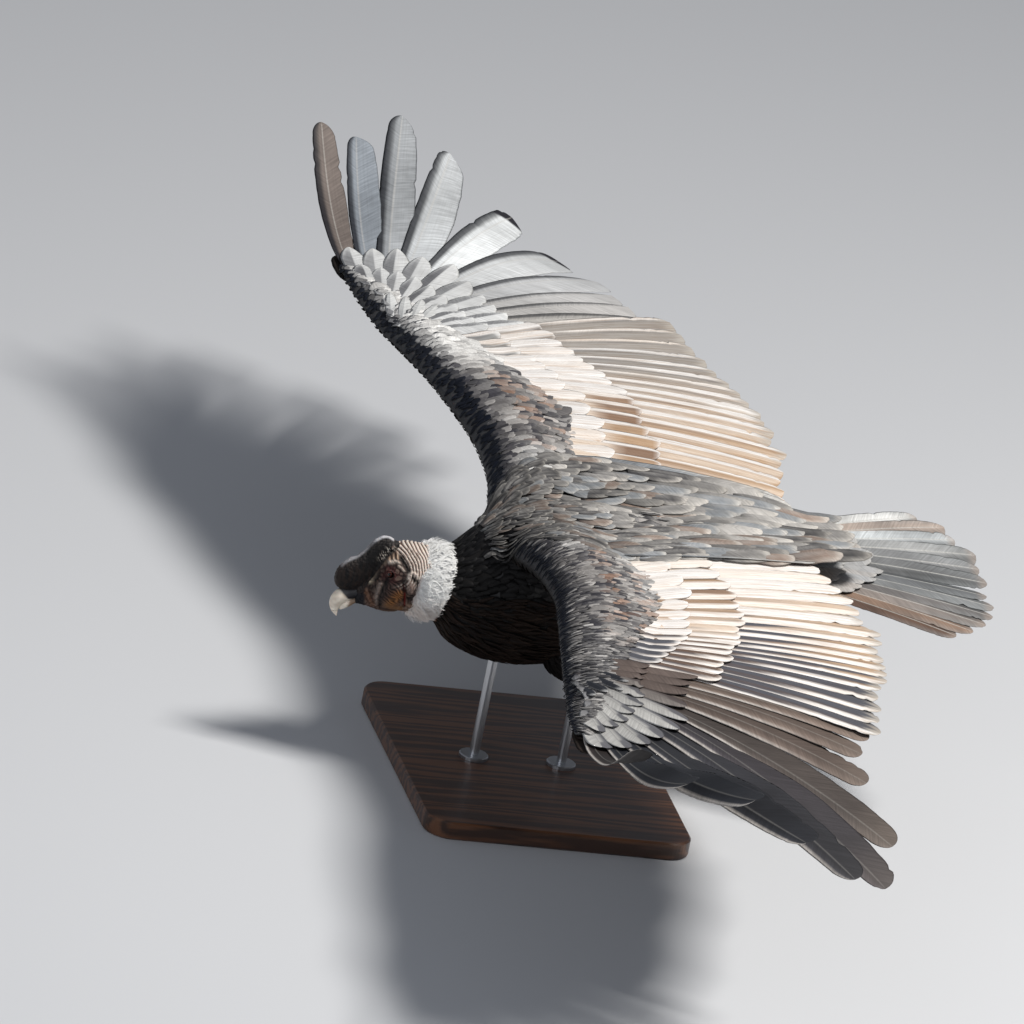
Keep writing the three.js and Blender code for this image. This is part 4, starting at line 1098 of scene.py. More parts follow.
tailCover = {"fan": tailFan, "count": 7, "span": (0, 0.96), "reach": (0.42, 0.3), "start": (-0.04,) * 3,
             "lift": (4.5, 6), "lead": (19, 19), "trail": (19, 22), "rise": 2, "round": 0.8, "droop": 0.14,
             "jitter": 0.06}
tailShort = dict(tailCover, reach=(0.24, 0.18), start=(-0.16,) * 3, lift=(8, 9))
tailUnder = dict(tailCover, count=5, reach=(0.42, 0.32), start=(-0.1,) * 3, lift=(-6, -7))
rumpTones = tints(blue="a2a5a8", brown="afa49a", rim="b5b3af")


def rumpTone(u, t, c, under, draw, side):
    base = blend(rumpTones["blue"], rumpTones["brown"], draw.random(u.shape) * 0.9)
    base = base * (0.82 + 0.18 * ramp(0.35, 0.75, t + 0.25 * np.abs(c)))[..., None]
    return blend(base, rumpTones["rim"], 0.6 * np.maximum(ramp(0.75, 1, np.abs(c)), ramp(0.88, 0.98, t)))


tailRows = [coverPair(cover, rumpTone, seed, rollTail) for cover, seed in (
    (tailCover, 161), (tailShort, 171), (tailUnder, 181))]
buildPiece("tailCoverts", sum(tailRows, []), smallPlumage)
print("scapulars and tail coverts laid")


# One skin under the coat

headSections = [
    [-262, -113, -145, 13], [-256, -107, -145, 16], [-245, -91, -146, 22], [-232, -66, -146, 30],
    [-220, -50, -147, 35], [-205, -38, -148, 39], [-190, -34, -148, 43], [-168, -36, -149, 47],
    [-150, -36, -152, 50], [-128, -40, -160, 54],
]
combSections = [
    [-300, -101, -109, 4], [-296, -86, -118, 9], [-285, -73, -124, 12], [-270, -64, -126, 13], [-258, -51, -122, 13],
    [-248, -36, -112, 13], [-238, -28, -100, 12.5], [-228, -26, -84, 11.5], [-217, -30, -66, 9], [-209, -38, -54, 5],
]
wattleSections = [
    [-246, -138, -145, 8], [-232, -136, -149, 14], [-214, -136, -152, 18], [-196, -136, -151.5, 17],
    [-192, -136, -150, 15],
]
cheekReach = np.interp(-198, [-205, -190], [39, 43])  # half width of the head below the ear
crownLump = ((0, -211, -39), (6, 8, 6))  # centre, radii of a lump that melts into the head
sideLumps = [((8, -220, -40), (6, 6, 6)), ((cheekReach - 1, -185, -97), (5.5, 8, 12)),
             ((cheekReach - 2, -186, -74), (4.5, 6, 6))]
skinSizes = {"bodyVoxel": 0.0045, "headVoxel": 0.0009, "coatDepth": -3.0, "rearDip": 6.0, "rounds": (8, 3)}
bodySkin = tints(body="151313", wing="3c3c3e")


def loftGrid(sections, rows, segments):
    aft = np.linspace(sections[0][0], sections[-1][0], rows)
    top, bottom, half = (column[:, None] for column in table(sections)(aft))
    angle = circle(segments)
    reach = squared(np.cos(angle), np.sin(angle))
    x = np.cos(angle) * reach * half
    z = (top + bottom) / 2 + np.sin(angle) * reach * ((top - bottom) / 2)
    return stack(x, aft[:, None] + 0 * x, z)


def ballGrid(centre, radii, rows=18, segments=24):
    high = np.linspace(0.02, math.pi - 0.02, rows)[:, None]
    angle = circle(segments)
    ball = stack(np.sin(high) * np.cos(angle), np.sin(high) * np.sin(angle), np.cos(high) + 0 * angle)
    return np.asarray(centre, float) + ball * np.asarray(radii, float)


def tubeGrid(surface, rows, segments, grow=0.0, first=0.0, last=1.0):
    s = np.linspace(first, last, rows)[:, None]
    angle = circle(segments)
    return surface(s + 0 * angle, angle + 0 * s, grow)


def wingGrid(side):
    out = np.linspace(12, 930, 150)[:, None]
    chord = 1 - (1 + np.cos(np.linspace(0, math.pi, 24))) / 2
    faces = []
    for face, places in ((1, chord), (-1, chord[-2:0:-1])):
        grid = wingSurface(out, places[None, :] + 0 * out, skinSizes["coatDepth"] * 0.7, face)
        grid[..., 2] -= skinSizes["rearDip"] * ramp(0.5, 0.85, places)
        faces.append(grid)
    return mirrored(np.concatenate(faces, 1), side)


def gridFaces(rows, segments, base):
    i, j = np.meshgrid(np.arange(rows - 1), np.arange(segments), indexing="ij")
    following = (j + 1) % segments
    quads = stack(i * segments + j, i * segments + following, (i + 1) * segments + following,
                  (i + 1) * segments + j).reshape(-1, 4) + base
    caps = [list(range(base + segments - 1, base - 1, -1)),
            list(range(base + (rows - 1) * segments, base + rows * segments))]
    return quads.tolist() + caps


def joinGrids(grids):
    faces, base = [], 0
    for grid in grids:
        faces += gridFaces(*grid.shape[:2], base)
        base += grid[..., 0].size
    return np.concatenate([grid.reshape(-1, 3) for grid in grids]), faces


def readMesh(items, name, size, kind):
    values = np.empty(len(items) * size, kind)
    items.foreach_get(name, values)
    return values.reshape(-1, size) if size > 1 else values


def melt(grids, voxel, rounds):  # joins closed tubes into one smooth surface; gives points in millimetres
    verts, faces = joinGrids(grids)
    mesh = bpy.data.meshes.new("melt")
    mesh.from_pydata((verts * 0.001).tolist(), [], faces)
    piece = bpy.data.objects.new("melt", mesh)
    bpy.context.scene.collection.objects.link(piece)
    remesh = piece.modifiers.new("melt", "REMESH")
    remesh.mode = "VOXEL"
    remesh.voxel_size = voxel
    remesh.adaptivity = 0
    found = bpy.data.meshes.new_from_object(piece.evaluated_get(bpy.context.evaluated_depsgraph_get()))
    points = readMesh(found.vertices, "co", 3, float) * 1000
    edges = readMesh(found.edges, "vertices", 2, int)
    shell = {"loops": readMesh(found.loops, "vertex_index", 1, int),
             "totals": readMesh(found.polygons, "loop_total", 1, int)}
    bpy.data.objects.remove(piece)
    bpy.data.meshes.remove(mesh)
    bpy.data.meshes.remove(found)
    both = np.concatenate([edges, edges[:, ::-1]])
    degree = np.bincount(both[:, 0], minlength=len(points))[:, None]
    for _ in range(rounds):
        total = stack(*(np.bincount(both[:, 0], points[both[:, 1], k], len(points)) for k in range(3)))
        points = points + 0.5 * (total / degree - points)
    return dict(shell, points=points)


def normals(shell):
    points, quads = shell["points"], shell["loops"].reshape(-1, 4)
    face = np.cross(points[quads[:, 2]] - points[quads[:, 0]], points[quads[:, 3]] - points[quads[:, 1]])
    total = np.zeros_like(points)
    for corner in range(4):
        for k in range(3):
            total[:, k] += np.bincount(quads[:, corner], face[:, k], len(points))
    return unit(total)


def nearLine(flat, path):  # distance from points of the side view to a line drawn on it
    path = np.asarray(path, float)
    best = np.full(len(flat), 1e9)
    fine = through(path, np.linspace(0, 1, 6 * len(path)))
    for a, b in zip(fine[:-1], fine[1:]):
        share = np.clip(((flat - a) @ (b - a)) / ((b - a) @ (b - a)), 0, 1)[:, None]
        best = np.minimum(best, np.linalg.norm(flat - a - (b - a) * share, axis=1))
    return best


headTones = tints(skin="352723", fold="e4d6ca", valley="57443b", eyeSkin="42201e", comb="0a0809", combBrown="2a1f1a",
                  cere="111116", throat="6f5746", neck="a07c6c", crease="140d0c", wrinkle="7d6a5f", dust="5d5552",
                  crest="c3c2c6", fleck="cfc6bb", lid="1b0f0e")
# Marks that sink the skin carry near-black or dark red tones: painted shade in those creases and slits.
headMarks = [  # line over (aft, up), half width, height, tone, strength
    ([[-242, -99], [-243, -108]], 9, 0, "1b1512", 0.7),
    ([[-250, -119], [-244, -126], [-235, -137]], 6, 0.4, "6b4a36", 0.75),
    ([[-246, -114], [-240, -124], [-236, -132]], 1.3, -0.7, "2a1b15", 0.7),
    ([[-251, -122], [-245, -130], [-240, -136]], 1.3, -0.7, "2a1b15", 0.6),
    ([[-200, -109], [-205, -117], [-208, -126]], 8, 1.2, "87592f", 0.8),
    ([[-213, -133], [-203, -138], [-192, -136]], 5, 0.6, "7a5634", 0.8),
    ([[-222, -84], [-226, -96], [-228, -111], [-228, -128], [-223, -139]], 4.2, -3.0, "0f0b0d", 0.92),
    ([[-232, -97], [-234, -110], [-233, -123], [-229, -136]], 2.6, 1.6, "80746d", 0.75),
    ([[-226, -58], [-230, -64], [-235, -71], [-239, -79], [-242, -88], [-246, -101]], 2.8, 2.4, "8a8070", 0.9),
    ([[-230, -73], [-235, -82], [-240, -94]], 3.4, -1.8, "15100f", 0.8),
    ([[-222, -50], [-222, -60]], 1.4, 1.3, "c9ad93", 0.9),
    ([[-217, -46], [-217, -56]], 1.4, 1.3, "c9ad93", 0.9),
    ([[-212, -44], [-211, -53]], 1.4, 1.3, "c9ad93", 0.9),
    ([[-219, -47], [-219.5, -59]], 1.2, -0.8, "2a1b18", 0.8),
    ([[-214.5, -44], [-214, -55]], 1.2, -0.8, "2a1b18", 0.8),
    ([[-223, -62], [-218, -59.5], [-213, -57], [-209, -58]], 2.3, 2.2, "c0b2a6", 0.95),
    ([[-206, -50], [-203, -55], [-198, -60], [-193, -66]], 3.4, -2.8, "0c0909", 0.97),
    ([[-209, -62.5], [-205, -64], [-200, -68]], 1.7, 1.8, "b8a99d", 0.95),
    ([[-197, -66], [-193, -73], [-194, -84]], 2.2, -1.6, "130d0d", 0.9),
    ([[-198, -84], [-198, -88]], 3.4, -1.6, "0f0909", 0.9),
    ([[-192, -79], [-191.5, -72], [-187, -68], [-181, -70], [-178, -76], [-179, -82]], 2.0, 2.8, "cdc0b4", 0.97),
    ([[-185, -76], [-182, -80]], 2.8, -2.6, "0d0808", 0.97),
    ([[-186, -90], [-184, -98]], 7.0, 2.4, "74625a", 0.85),
    ([[-194, -90], [-192, -101], [-187, -105], [-180, -106]], 1.6, -1.4, "1a1111", 0.85),
    ([[-185, -112], [-178, -111]], 3.4, -1.6, "120d0d", 0.9),
    ([[-188, -123], [-178, -126], [-172, -119]], 3.0, 2.0, "8f7564", 0.85),
    ([[-178, -80], [-172, -94], [-169.5, -107], [-170, -122]], 3.2, -3.0, "0e0a0a", 0.95),
    ([[-198, -91], [-194, -102], [-191, -114], [-187, -130]], 1.9, -2.8, "300b09", 0.95),
    ([[-193, -106], [-190.5, -116], [-187.5, -129]], 1.3, 0, "74170f", 0.7),
]
eyePlace = {"centre": (25.6, -220.0, -78.5), "radius": 7.5, "opening": 5.2, "axis": (0.96, -0.26, 0.08),
            "bulge": 0.07, "pupil": 0.3, "iris": 0.6, "socket": 5.0}
combCrest = [[-294, -84], [-285, -73.5], [-270, -64], [-258, -51], [-248, -36.5], [-238, -28.5], [-228, -26],
             [-218, -30]]
combFoot = [[-218, -42], [-224, -44], [-230, -53], [-235, -59]]


def combShare(points):
    top, bottom, half = table(combSections)(points[:, 1])
    inside = ramp(bottom - 2, bottom + 3, points[:, 2]) * ramp(half + 4, half + 1.5, np.abs(points[:, 0]))
    return inside * (points[:, 1] < -207) * (points[:, 1] > -304)


def paintHead(shell):  # moves the skin into folds and gives the tone of every point
    points = shell["points"]
    normal = normals(shell)
    flat = points[:, 1:]
    aft, up, out = points[:, 1], points[:, 2], np.abs(points[:, 0])
    facing = ramp(0.15, 0.6, np.abs(normal[:, 0]))
    isComb = combShare(points)
    face = (1 - isComb) * ramp(-172, -180, aft)
    tone = headTones["skin"] * (1 + 0.25 * waves(points, 9, 201)[:, None])
    # folds round the back of the head, a bare neck and throat
    ring = np.hypot(aft + 220, up + 72) + 0.7 * waves(points, 34, 202)
    bands = ramp(24, 30, ring) * ramp(-102, -84, up) * ramp(-219, -206, aft) * (1 - isComb)
    fold = (0.5 + 0.5 * np.cos(2 * math.pi * (ring - 31.5) / 4.8)) ** 1.1
    height = bands * (fold - 0.4) * 1.5
    # the valleys between the folds are painted dark: painted shade in the creases
    tone = blend(tone, blend(headTones["valley"], headTones["fold"], ramp(0.12, 0.62, fold)), bands * 0.95)
    tone = blend(tone, headTones["neck"], ramp(-84, -104, up) * ramp(-176, -168, aft) * 0.8)
    tone = blend(tone, headTones["throat"], ramp(-0.2, -0.8, normal[:, 2]) * ramp(-240, -215, aft) * 0.7)
    around = np.hypot(aft + 220, (up + 78.5) * 1.15)
    tone = blend(tone, headTones["eyeSkin"], ramp(20, 9, around) * facing)
    # fine wrinkles below the eye, in front of it and over the cheek
    slant = (aft * 0.5 + up * 0.86) + 2.2 * waves(points, 17, 203)
    lines = np.cos(2 * math.pi * slant / 5.0) * ramp(8, 12, around) * ramp(64, 54, around)
    below = ramp(-82, -92, up) * ramp(-226, -221, aft) * ramp(-190, -197, aft) * facing
    height += 0.6 * lines * below
    front = ramp(-230, -236, aft) * face * facing
    steep = np.cos(2 * math.pi * (aft * 0.86 - up * 0.5 + 1.5 * waves(points, 18, 204)) / 5.2)
    height += 0.5 * steep * front
    # the wrinkles in front are painted darker in their grooves and lighter on their ridges: painted shade and light
    tone = tone * (1 + 0.55 * steep * front)[:, None]
    crease = np.abs(waves(points * np.array([1, 1, 0.6]), 11, 211)) * face * facing * (1 - below)
    height += 1.1 * (ramp(0, 0.5, crease) - 0.5) * face * facing
    tone = blend(tone, headTones["wrinkle"], 0.55 * ramp(0.35, 0.9, crease))
    # darker in the low creases: painted shade
    tone = blend(tone, headTones["crease"], 0.5 * ramp(0.22, 0.02, crease) * face * facing * (1 - below))
    for path, wide, rise, code, strength in headMarks:
        near = np.exp(-(nearLine(flat, path) / wide) ** 2) * (1 - isComb) * facing
        height += rise * near
        tone = blend(tone, tint(code), strength * near)
    # the wrinkles below the eye are painted darker in their grooves and lighter on their ridges: painted shade and
    # light
    tone = tone * (1 + (0.6 + 0.25 * waves(points, 7, 212)) * lines * below)[:, None]
    # comb: dark and dusty, with a painted highlight along its top edge
    height += isComb * (0.35 * waves(points, 16, 205) + 0.22 * waves(points, 4, 206))
    streak = ramp(0.1, 0.9, 0.5 + 0.5 * waves(points * np.array([1, 1, 0.25]), 7, 207))
    low = ramp(-60, -100, up + 0.45 * (aft + 250))
    brown = np.clip(0.55 * streak * low + 0.6 * ramp(-286, -298, aft), 0, 1)
    combTone = blend(headTones["comb"], headTones["combBrown"], brown)
    dust = ramp(-0.3, 0.6, waves(points, 5, 213)) * ramp(0.1, 0.6, normal[:, 2])
    combTone = blend(combTone, headTones["dust"], 0.3 * dust)
    # a thin pale line on the upward faces along the comb's top edge: painted highlight where light glances off it
    crest = np.exp(-(nearLine(flat, combCrest) / 1.5) ** 2) * ramp(0.3, 0.75, normal[:, 2])
    combTone = blend(combTone, headTones["crest"], crest * np.interp(aft, [-290, -250, -236], [0.5, 0.65, 0.95]))
    tone = blend(tone, combTone, isComb)
    flecks = ramp(0.1, 0.5, waves(points, 4.5, 208)) * np.exp(-(nearLine(flat, combFoot) / 4.5) ** 2)
    tone = blend(tone, headTones["fleck"], flecks * 0.8)
    height += flecks * 0.4
    tone = blend(tone, headTones["cere"], ramp(-247, -253, aft + 0.25 * (up + 127)) * (1 - isComb))
    height += 0.15 * waves(points, 4, 209) + 0.2 * waves(points, 9, 210)
    # lids round the open eye
    opening = eyePlace["opening"]
    lid = np.exp(-((around - opening - 1.6) / 1.3) ** 2) * 1.5 - 0.8 * np.exp(-((around - 10.5) / 1.3) ** 2)
    height += lid * facing
    socket = ramp(opening + 0.6, opening - 0.8, around) * facing * (out > 15)
    tone = blend(tone, headTones["lid"], ramp(7.2, 5.4, around) * facing)
    shell["points"] = points + normal * (height - eyePlace["socket"] * socket)[:, None]
    return tone


def makeSkin():
    headRounds, bodyRounds = skinSizes["rounds"]
    headGrids = [loftGrid(headSections, 60, 72), loftGrid(combSections, 48, 48), loftGrid(wattleSections, 24, 40),
                 ballGrid(*crownLump)]
    for side in (1, -1):
        headGrids += [ballGrid(mirrored(np.array(centre), side), radii) for centre, radii in sideLumps]
    head = melt(headGrids, skinSizes["headVoxel"], headRounds)
    headTone = paintHead(head)
    thigh = tubeGrid(thighSurface, 40, 40, skinSizes["coatDepth"])
    body = melt([tubeGrid(bodySurface, 110, 96, skinSizes["coatDepth"], -152, 488), wingGrid(1), wingGrid(-1),
                 thigh, mirrored(thigh, -1)], skinSizes["bodyVoxel"], bodyRounds)
    wing = ramp(60, 120, np.abs(body["points"][:, 0])) * ramp(-0.2, 0.3, normals(body)[:, 2])
    bodyTone = blend(bodySkin["body"], bodySkin["wing"], wing)
    return meshObject("skin", np.concatenate([head["points"], body["points"]]),
                      np.concatenate([head["loops"], body["loops"] + len(head["points"])]),
                      np.concatenate([head["totals"], body["totals"]]), np.concatenate([headTone, bodyTone]), bareSkin,
                      ("torso", "neck", "head", "comb", "wattle", "thigh_left", "thigh_right"))


makeSkin()
print("skin melted and painted")


# Eyes and bill

def gridPiece(name, grids, toneLists, material, hides=()):
    verts, faces = joinGrids(grids)
    tones = np.concatenate([np.broadcast_to(tone, grid.shape).reshape(-1, 3) for grid, tone in zip(grids, toneLists)])
    piece = meshObject(name, verts, np.concatenate([np.asarray(f) for f in faces]), np.array([len(f) for f in faces]),
                       tones, material, hides)
    work = bmesh.new()
    work.from_mesh(piece.data)
    bmesh.ops.recalc_face_normals(work, faces=work.faces)
    work.to_mesh(piece.data)
    work.free()
    return piece


eyeTones = tints(iris="2b110d", ray="552517", pupil="050404", rim="1c0d0b")


def makeEye(side, name, node):
    polar = np.concatenate([np.linspace(0.02, 0.9, 26), np.linspace(0.98, math.pi - 0.02, 16)])[:, None]
    angle = circle(48)
    bulge = 1 + eyePlace["bulge"] * ramp(0.75, 0.2, polar)
    axis = unit(mirrored(np.array(eyePlace["axis"]), side))
    first = unit(np.cross(axis, [0, 0, 1.0]))
    second = np.cross(axis, first)
    ball = (axis * np.cos(polar)[..., None] + first * (np.sin(polar) * np.cos(angle))[..., None]
            + second * (np.sin(polar) * np.sin(angle))[..., None]) * (eyePlace["radius"] * bulge + 0 * angle)[..., None]
    rays = 0.5 + 0.5 * np.cos(angle * 17 + 2 * np.sin(angle * 5))
    iris = blend(eyeTones["iris"], eyeTones["ray"], rays * ramp(0.28, 0.55, polar))
    tone = blend(eyeTones["pupil"], iris, ramp(eyePlace["pupil"] - 0.03, eyePlace["pupil"], polar))
    tone = blend(tone, eyeTones["rim"], ramp(eyePlace["iris"], eyePlace["iris"] + 0.08, polar))
    gridPiece(name, [mirrored(np.array(eyePlace["centre"]), side) + ball], [tone], eyeGloss, (node,))


makeEye(1, "eyeLeft", "eye_left")
makeEye(-1, "eyeRight", "eye_right")

# aft, up, half height, half width along each half of the bill
upperBill = [[-258, -123, 10, 12.5], [-262, -125, 11.2, 12], [-275, -130, 12.5, 11.2], [-285.5, -138, 13, 9.8],
             [-290, -148.5, 10.8, 7.6], [-289.5, -159, 6.6, 4.6], [-285.8, -168, 2, 1.6], [-284.4, -171, 0.3, 0.3]]
lowerBill = [[-256, -138, 5.5, 10.5], [-262, -139.5, 5.5, 10], [-270, -145, 7, 8.6], [-277, -151.5, 6, 6.4],
             [-281.5, -158, 2, 3]]
billTones = tints(cere="17171b", ivory="e9dfcf", shade="a9937c", lower="8d7763", tip="f0e6d6")


def billGrid(path, rows=90, segments=64, sharp=0.0):
    fine = through(path, np.linspace(0, 1, rows))
    centre = stack(0 * fine[:, 0], fine[:, 0], fine[:, 1])
    along = unit(np.gradient(centre, axis=0))
    up = np.cross(np.array([1.0, 0, 0]), along)
    up *= np.where(up[:, 2:] + up[:, 1:2] * -0.3 < 0, -1, 1)
    angle = circle(segments)
    reach = squared(np.cos(angle), np.sin(angle), 2.1)
    narrow = 1 - sharp * ramp(-0.1, 1, np.sin(angle))
    x = np.cos(angle) * reach * fine[:, 3:4] * narrow
    z = np.sin(angle) * reach * fine[:, 2:3]
    return centre[:, None, :] + np.array([1.0, 0, 0]) * x[..., None] + up[:, None, :] * z[..., None]


def upperBillTone(grid):
    aft, up = grid[..., 1], grid[..., 2]
    edge = (aft + 281) * 0.47 + (up + 132) * 0.88 + 1.2 * waves(grid, 14, 301)
    tone = blend(billTones["ivory"], billTones["shade"], 0.35 * (0.5 + 0.5 * waves(grid, 10, 302)))
    tone = blend(tone, billTones["tip"], ramp(-158, -168, up))
    return blend(tone, billTones["cere"], ramp(-1.5, 3.5, edge))


def lowerBillTone(grid):
    base = blend(billTones["lower"], billTones["cere"], 0.35 * ramp(-264, -257, grid[..., 1]))
    return blend(base, billTones["ivory"], ramp(-268, -275, grid[..., 1] + 0.6 * waves(grid, 6, 303)))


upperGrid, lowerGrid = billGrid(upperBill, sharp=0.35), billGrid(lowerBill, 50)
gridPiece("billUpper", [upperGrid], [upperBillTone(upperGrid)], horn, ("bill_upper",))
gridPiece("billLower", [lowerGrid], [lowerBillTone(lowerGrid)], horn, ("bill_lower",))
print("eyes and bill made")


# White down collar

ruffProfile = [[-172, 42], [-169, 51], [-158, 60], [-144, 65], [-130, 66], [-119, 60], [-114, 48]]
ruffLook = {"rows": 0.022, "around": (120, 180, 155), "lengths": (9, 13, 14), "halfWidth": (1.3, 2.4), "lift": 0.12,
            "loose": 0.2, "looseLift": 0.42, "looseWidth": 0.55, "curl": 0.03, "twist": 0.22, "ruffle": 0.13,
            "base": -1.6, "thick": 0.12, "droop": 0.1}
ruffTones = tints(lit="fffefb", low="f6dfcf", inner="c9aca0", core="f6f3ee")


def ruffSurface(s, angle, grow=0.0):
    line = through(ruffProfile, s)
    tangent = unit(through(ruffProfile, s + 0.02) - through(ruffProfile, s - 0.02))
    low = 0.5 - 0.5 * np.sin(angle)
    narrow = 1 - 0.26 * low ** 2
    front = ruffProfile[0][0]
    puff = 2.4 * np.sin(angle * 4 + 5 * s) + 1.8 * np.sin(angle * 9 - 7 * s) + 0.9 * np.sin(angle * 17 + 11 * s)
    aft = front + (line[..., 0] - tangent[..., 1] * grow - front) * narrow - 9 * low
    radius = line[..., 1] + tangent[..., 0] * grow + puff * ramp(0, 0.3, s)
    return stack(np.cos(angle) * radius, aft, -95 + np.sin(angle) * radius)


def makeRuff():
    draw = np.random.default_rng(401)
    s, share = brick(0.0, 0.98, ruffLook["rows"], lambda a: np.interp(a, [0, 0.5, 1], ruffLook["around"]), draw, 1.2)
    angle = share * 2 * math.pi
    long = np.interp(s, [0, 0.3, 1], ruffLook["lengths"]) * (1 + 0.3 * draw.normal(size=len(s)))
    loose = draw.random(len(s)) < ruffLook["loose"]
    drift = draw.normal(0, 0.09, len(s))
    half = draw.uniform(*ruffLook["halfWidth"], len(s)) * np.where(loose, ruffLook["looseWidth"], 1)
    look = dict(ruffLook, length=long, lift=np.where(loose, ruffLook["looseLift"], ruffLook["lift"]))
    batch = tufts(ruffSurface, s, angle, long / 110, drift, half, look, draw, 1, ([0, 0.4, 0.8, 1], [0.8, 1, 0.7, 0.1]))
    # the lower side is painted a warm tint: painted shade warmed by light bounced from the floor; the pinkish inner
    # edge is painted shade
    base = blend(ruffTones["lit"], ruffTones["low"], 0.8 * ramp(0.1, -0.9, np.sin(angle)))
    base = blend(base, ruffTones["inner"], ramp(0.14, 0.0, s) * 0.7)
    batch["tones"] = tipTone(batch, base, base, 0.0, draw, 0.01)
    out = unit(ruffSurface(s, angle, 3.0) - ruffSurface(s, angle)) + draw.normal(0, ruffLook["ruffle"], (len(s), 3))
    batch["facing"] = unit(out)[:, None, None, :]  # soft shading, as of one mass of down
    return bakePatches(batch, share * 0.95, s * 0.9)


buildPiece("ruffDown", [makeRuff()], downPlumage, ("ruff",))
gridPiece("ruffCore", [tubeGrid(ruffSurface, 40, 120, -1.5)], [ruffTones["core"]], downPlumage)


# Legs and feet

legPath = {"shank": [[42, 225, -139], [40, 270, -122], [37, 320, -106], [36, 338, -102]],
           "shankRadii": [11, 10, 10, 10],
           "toe": [[330, -103], [365, -106], [400, -108], [428, -112]], "toeRadii": [8, 7, 6.5, 5.5],
           "toeEnds": [0, 9, 15, 18],
           "claw": [[0, -4, 0], [0.3, 8, -2], [0.7, 16, -8], [1, 19, -15]], "clawRadii": [4.8, 4.2, 2.4, 0.3],
           "hind": [[36, 330, -108], [36, 352, -118], [36, 364, -126]], "hindRadii": [6, 5.5, 4.5],
           "hindClaw": [[36, 361, -124], [36, 368, -129], [36, 372, -137]], "hindClawRadii": [3.8, 2.8, 0.3]}
legTones = tints(scale="4a4644", pale="7d7468", claw="1b1817")


def scuted(path, radii, rows, segments, pitch, deep):  # broad plates in front, small scales behind
    surface = limbSurface(path, radii)
    s = np.linspace(0, 1, rows)[:, None]
    angle = circle(segments)
    top = ramp(-0.2, 0.5, np.sin(angle))
    band = (s / pitch) % 1
    step = deep * (top * (0.6 - band) + (1 - top) * 0.5 * np.sin(2 * math.pi * s / pitch) * np.sin(angle * 9))
    grid = tubeGrid(surface, rows, segments)
    out = unit(tubeGrid(surface, rows, segments, 1.0) - grid)
    shade = np.clip(0.4 + 0.5 * (0.6 - band) * top + 0.2 * np.sin(angle * 9), 0, 1)
    return grid + out * step[..., None], blend(legTones["scale"], legTones["pale"], shade * 0.6)


def makeFoot(side, name, node):
    parts = [scuted(legPath["shank"], legPath["shankRadii"], 90, 40, 0.055, 0.9),
             (ballGrid((36, 334, -103), (12, 14, 10)), legTones["scale"])]
    claws = []
    for turn in (-1, 0, 1):
        path = [[36 + turn * ahead, aft, up] for (aft, up), ahead in zip(legPath["toe"], legPath["toeEnds"])]
        parts.append(scuted(path, legPath["toeRadii"], 70, 28, 0.08, 0.8))
        claw = np.array(path[-1]) + np.array(legPath["claw"]) * np.array([turn, 1, 1])
        claws.append(tubeGrid(limbSurface(claw, legPath["clawRadii"]), 30, 20))
    parts.append(scuted(legPath["hind"], legPath["hindRadii"], 40, 24, 0.12, 0.6))
    claws.append(tubeGrid(limbSurface(legPath["hindClaw"], legPath["hindClawRadii"]), 24, 18))
    gridPiece(name, [mirrored(grid, side) for grid, tone in parts], [tone for grid, tone in parts], scaleSkin,
              (node,))
    gridPiece(name + "Claws", [mirrored(grid, side) for grid in claws], [legTones["claw"]] * len(claws), horn)


makeFoot(1, "footLeft", "foot_left")
makeFoot(-1, "footRight", "foot_right")
print("feet made")


# Stand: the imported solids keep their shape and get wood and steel

standLook = {"woodStretch": (14, 1.1, 14), "woodRough": (0.35, 0.5), "steelStretch": (900, 900, 20),
             "steelRough": (0.28, 0.42), "dark": (*tint("3a2418"), 1), "pale": (*tint("6b452c"), 1)}


def twoColours(add, factor, first, second, places=(0, 1)):
    colours = add("ValToRGB", {0: factor})
    for element, colour, place in zip(colours.color_ramp.elements, (first, second), places):
        element.color, element.position = colour, place
    return colours


def wood():
    add, finish = newMaterial("walnut")
    place = add("TexCoord").outputs["Object"]
    stretch = add("VectorMath", {0: place, 1: standLook["woodStretch"]}, operation="MULTIPLY")
    warp = add("TexNoise", {"Vector": stretch, "Scale": 2.0, "Detail": 4.0}).outputs["Color"]
    mixed = add("VectorMath", {0: warp, 1: (1.4, 1.4, 1.4), 2: stretch}, operation="MULTIPLY_ADD")
    rings = add("TexWave", {"Vector": mixed, "Scale": 0.9, "Distortion": 4.0, "Detail": 4.0})
    fibres = add("TexNoise", {"Vector": stretch, "Scale": 18.0, "Detail": 6.0})
    joined = add("Mix", {"Factor": 0.35, "A": rings.outputs[0], "B": fibres})
    bump = add("Bump", {"Height": fibres, "Strength": 0.15, "Distance": 0.0005})
    return finish(Base_Color=twoColours(add, joined, standLook["dark"], standLook["pale"], (0.25, 0.8)),
                  Roughness=mapped(add, fibres, 0, 1, *standLook["woodRough"]), Normal=bump, Coat_Weight=0.3,
                  Coat_Roughness=0.25)


def steel():
    add, finish = newMaterial("brushed steel")
    brush = stretchedNoise(add, add("TexCoord").outputs["Object"], standLook["steelStretch"], Detail=3.0)
    return finish(Roughness=mapped(add, brush, 0, 1, *standLook["steelRough"]), Metallic=1.0,
                  Base_Color=twoColours(add, brush, (0.42, 0.43, 0.45, 1), (0.58, 0.59, 0.61, 1)))


standFinish = {"stand_base": wood(), "stand_rod_front": steel(), "stand_rod_rear": steel()}
for nodeName, finished in standFinish.items():
    for materialSlot in frame["nodes"][nodeName].material_slots:
        materialSlot.material = finished
print("stand finished")


# Camera, light and floor

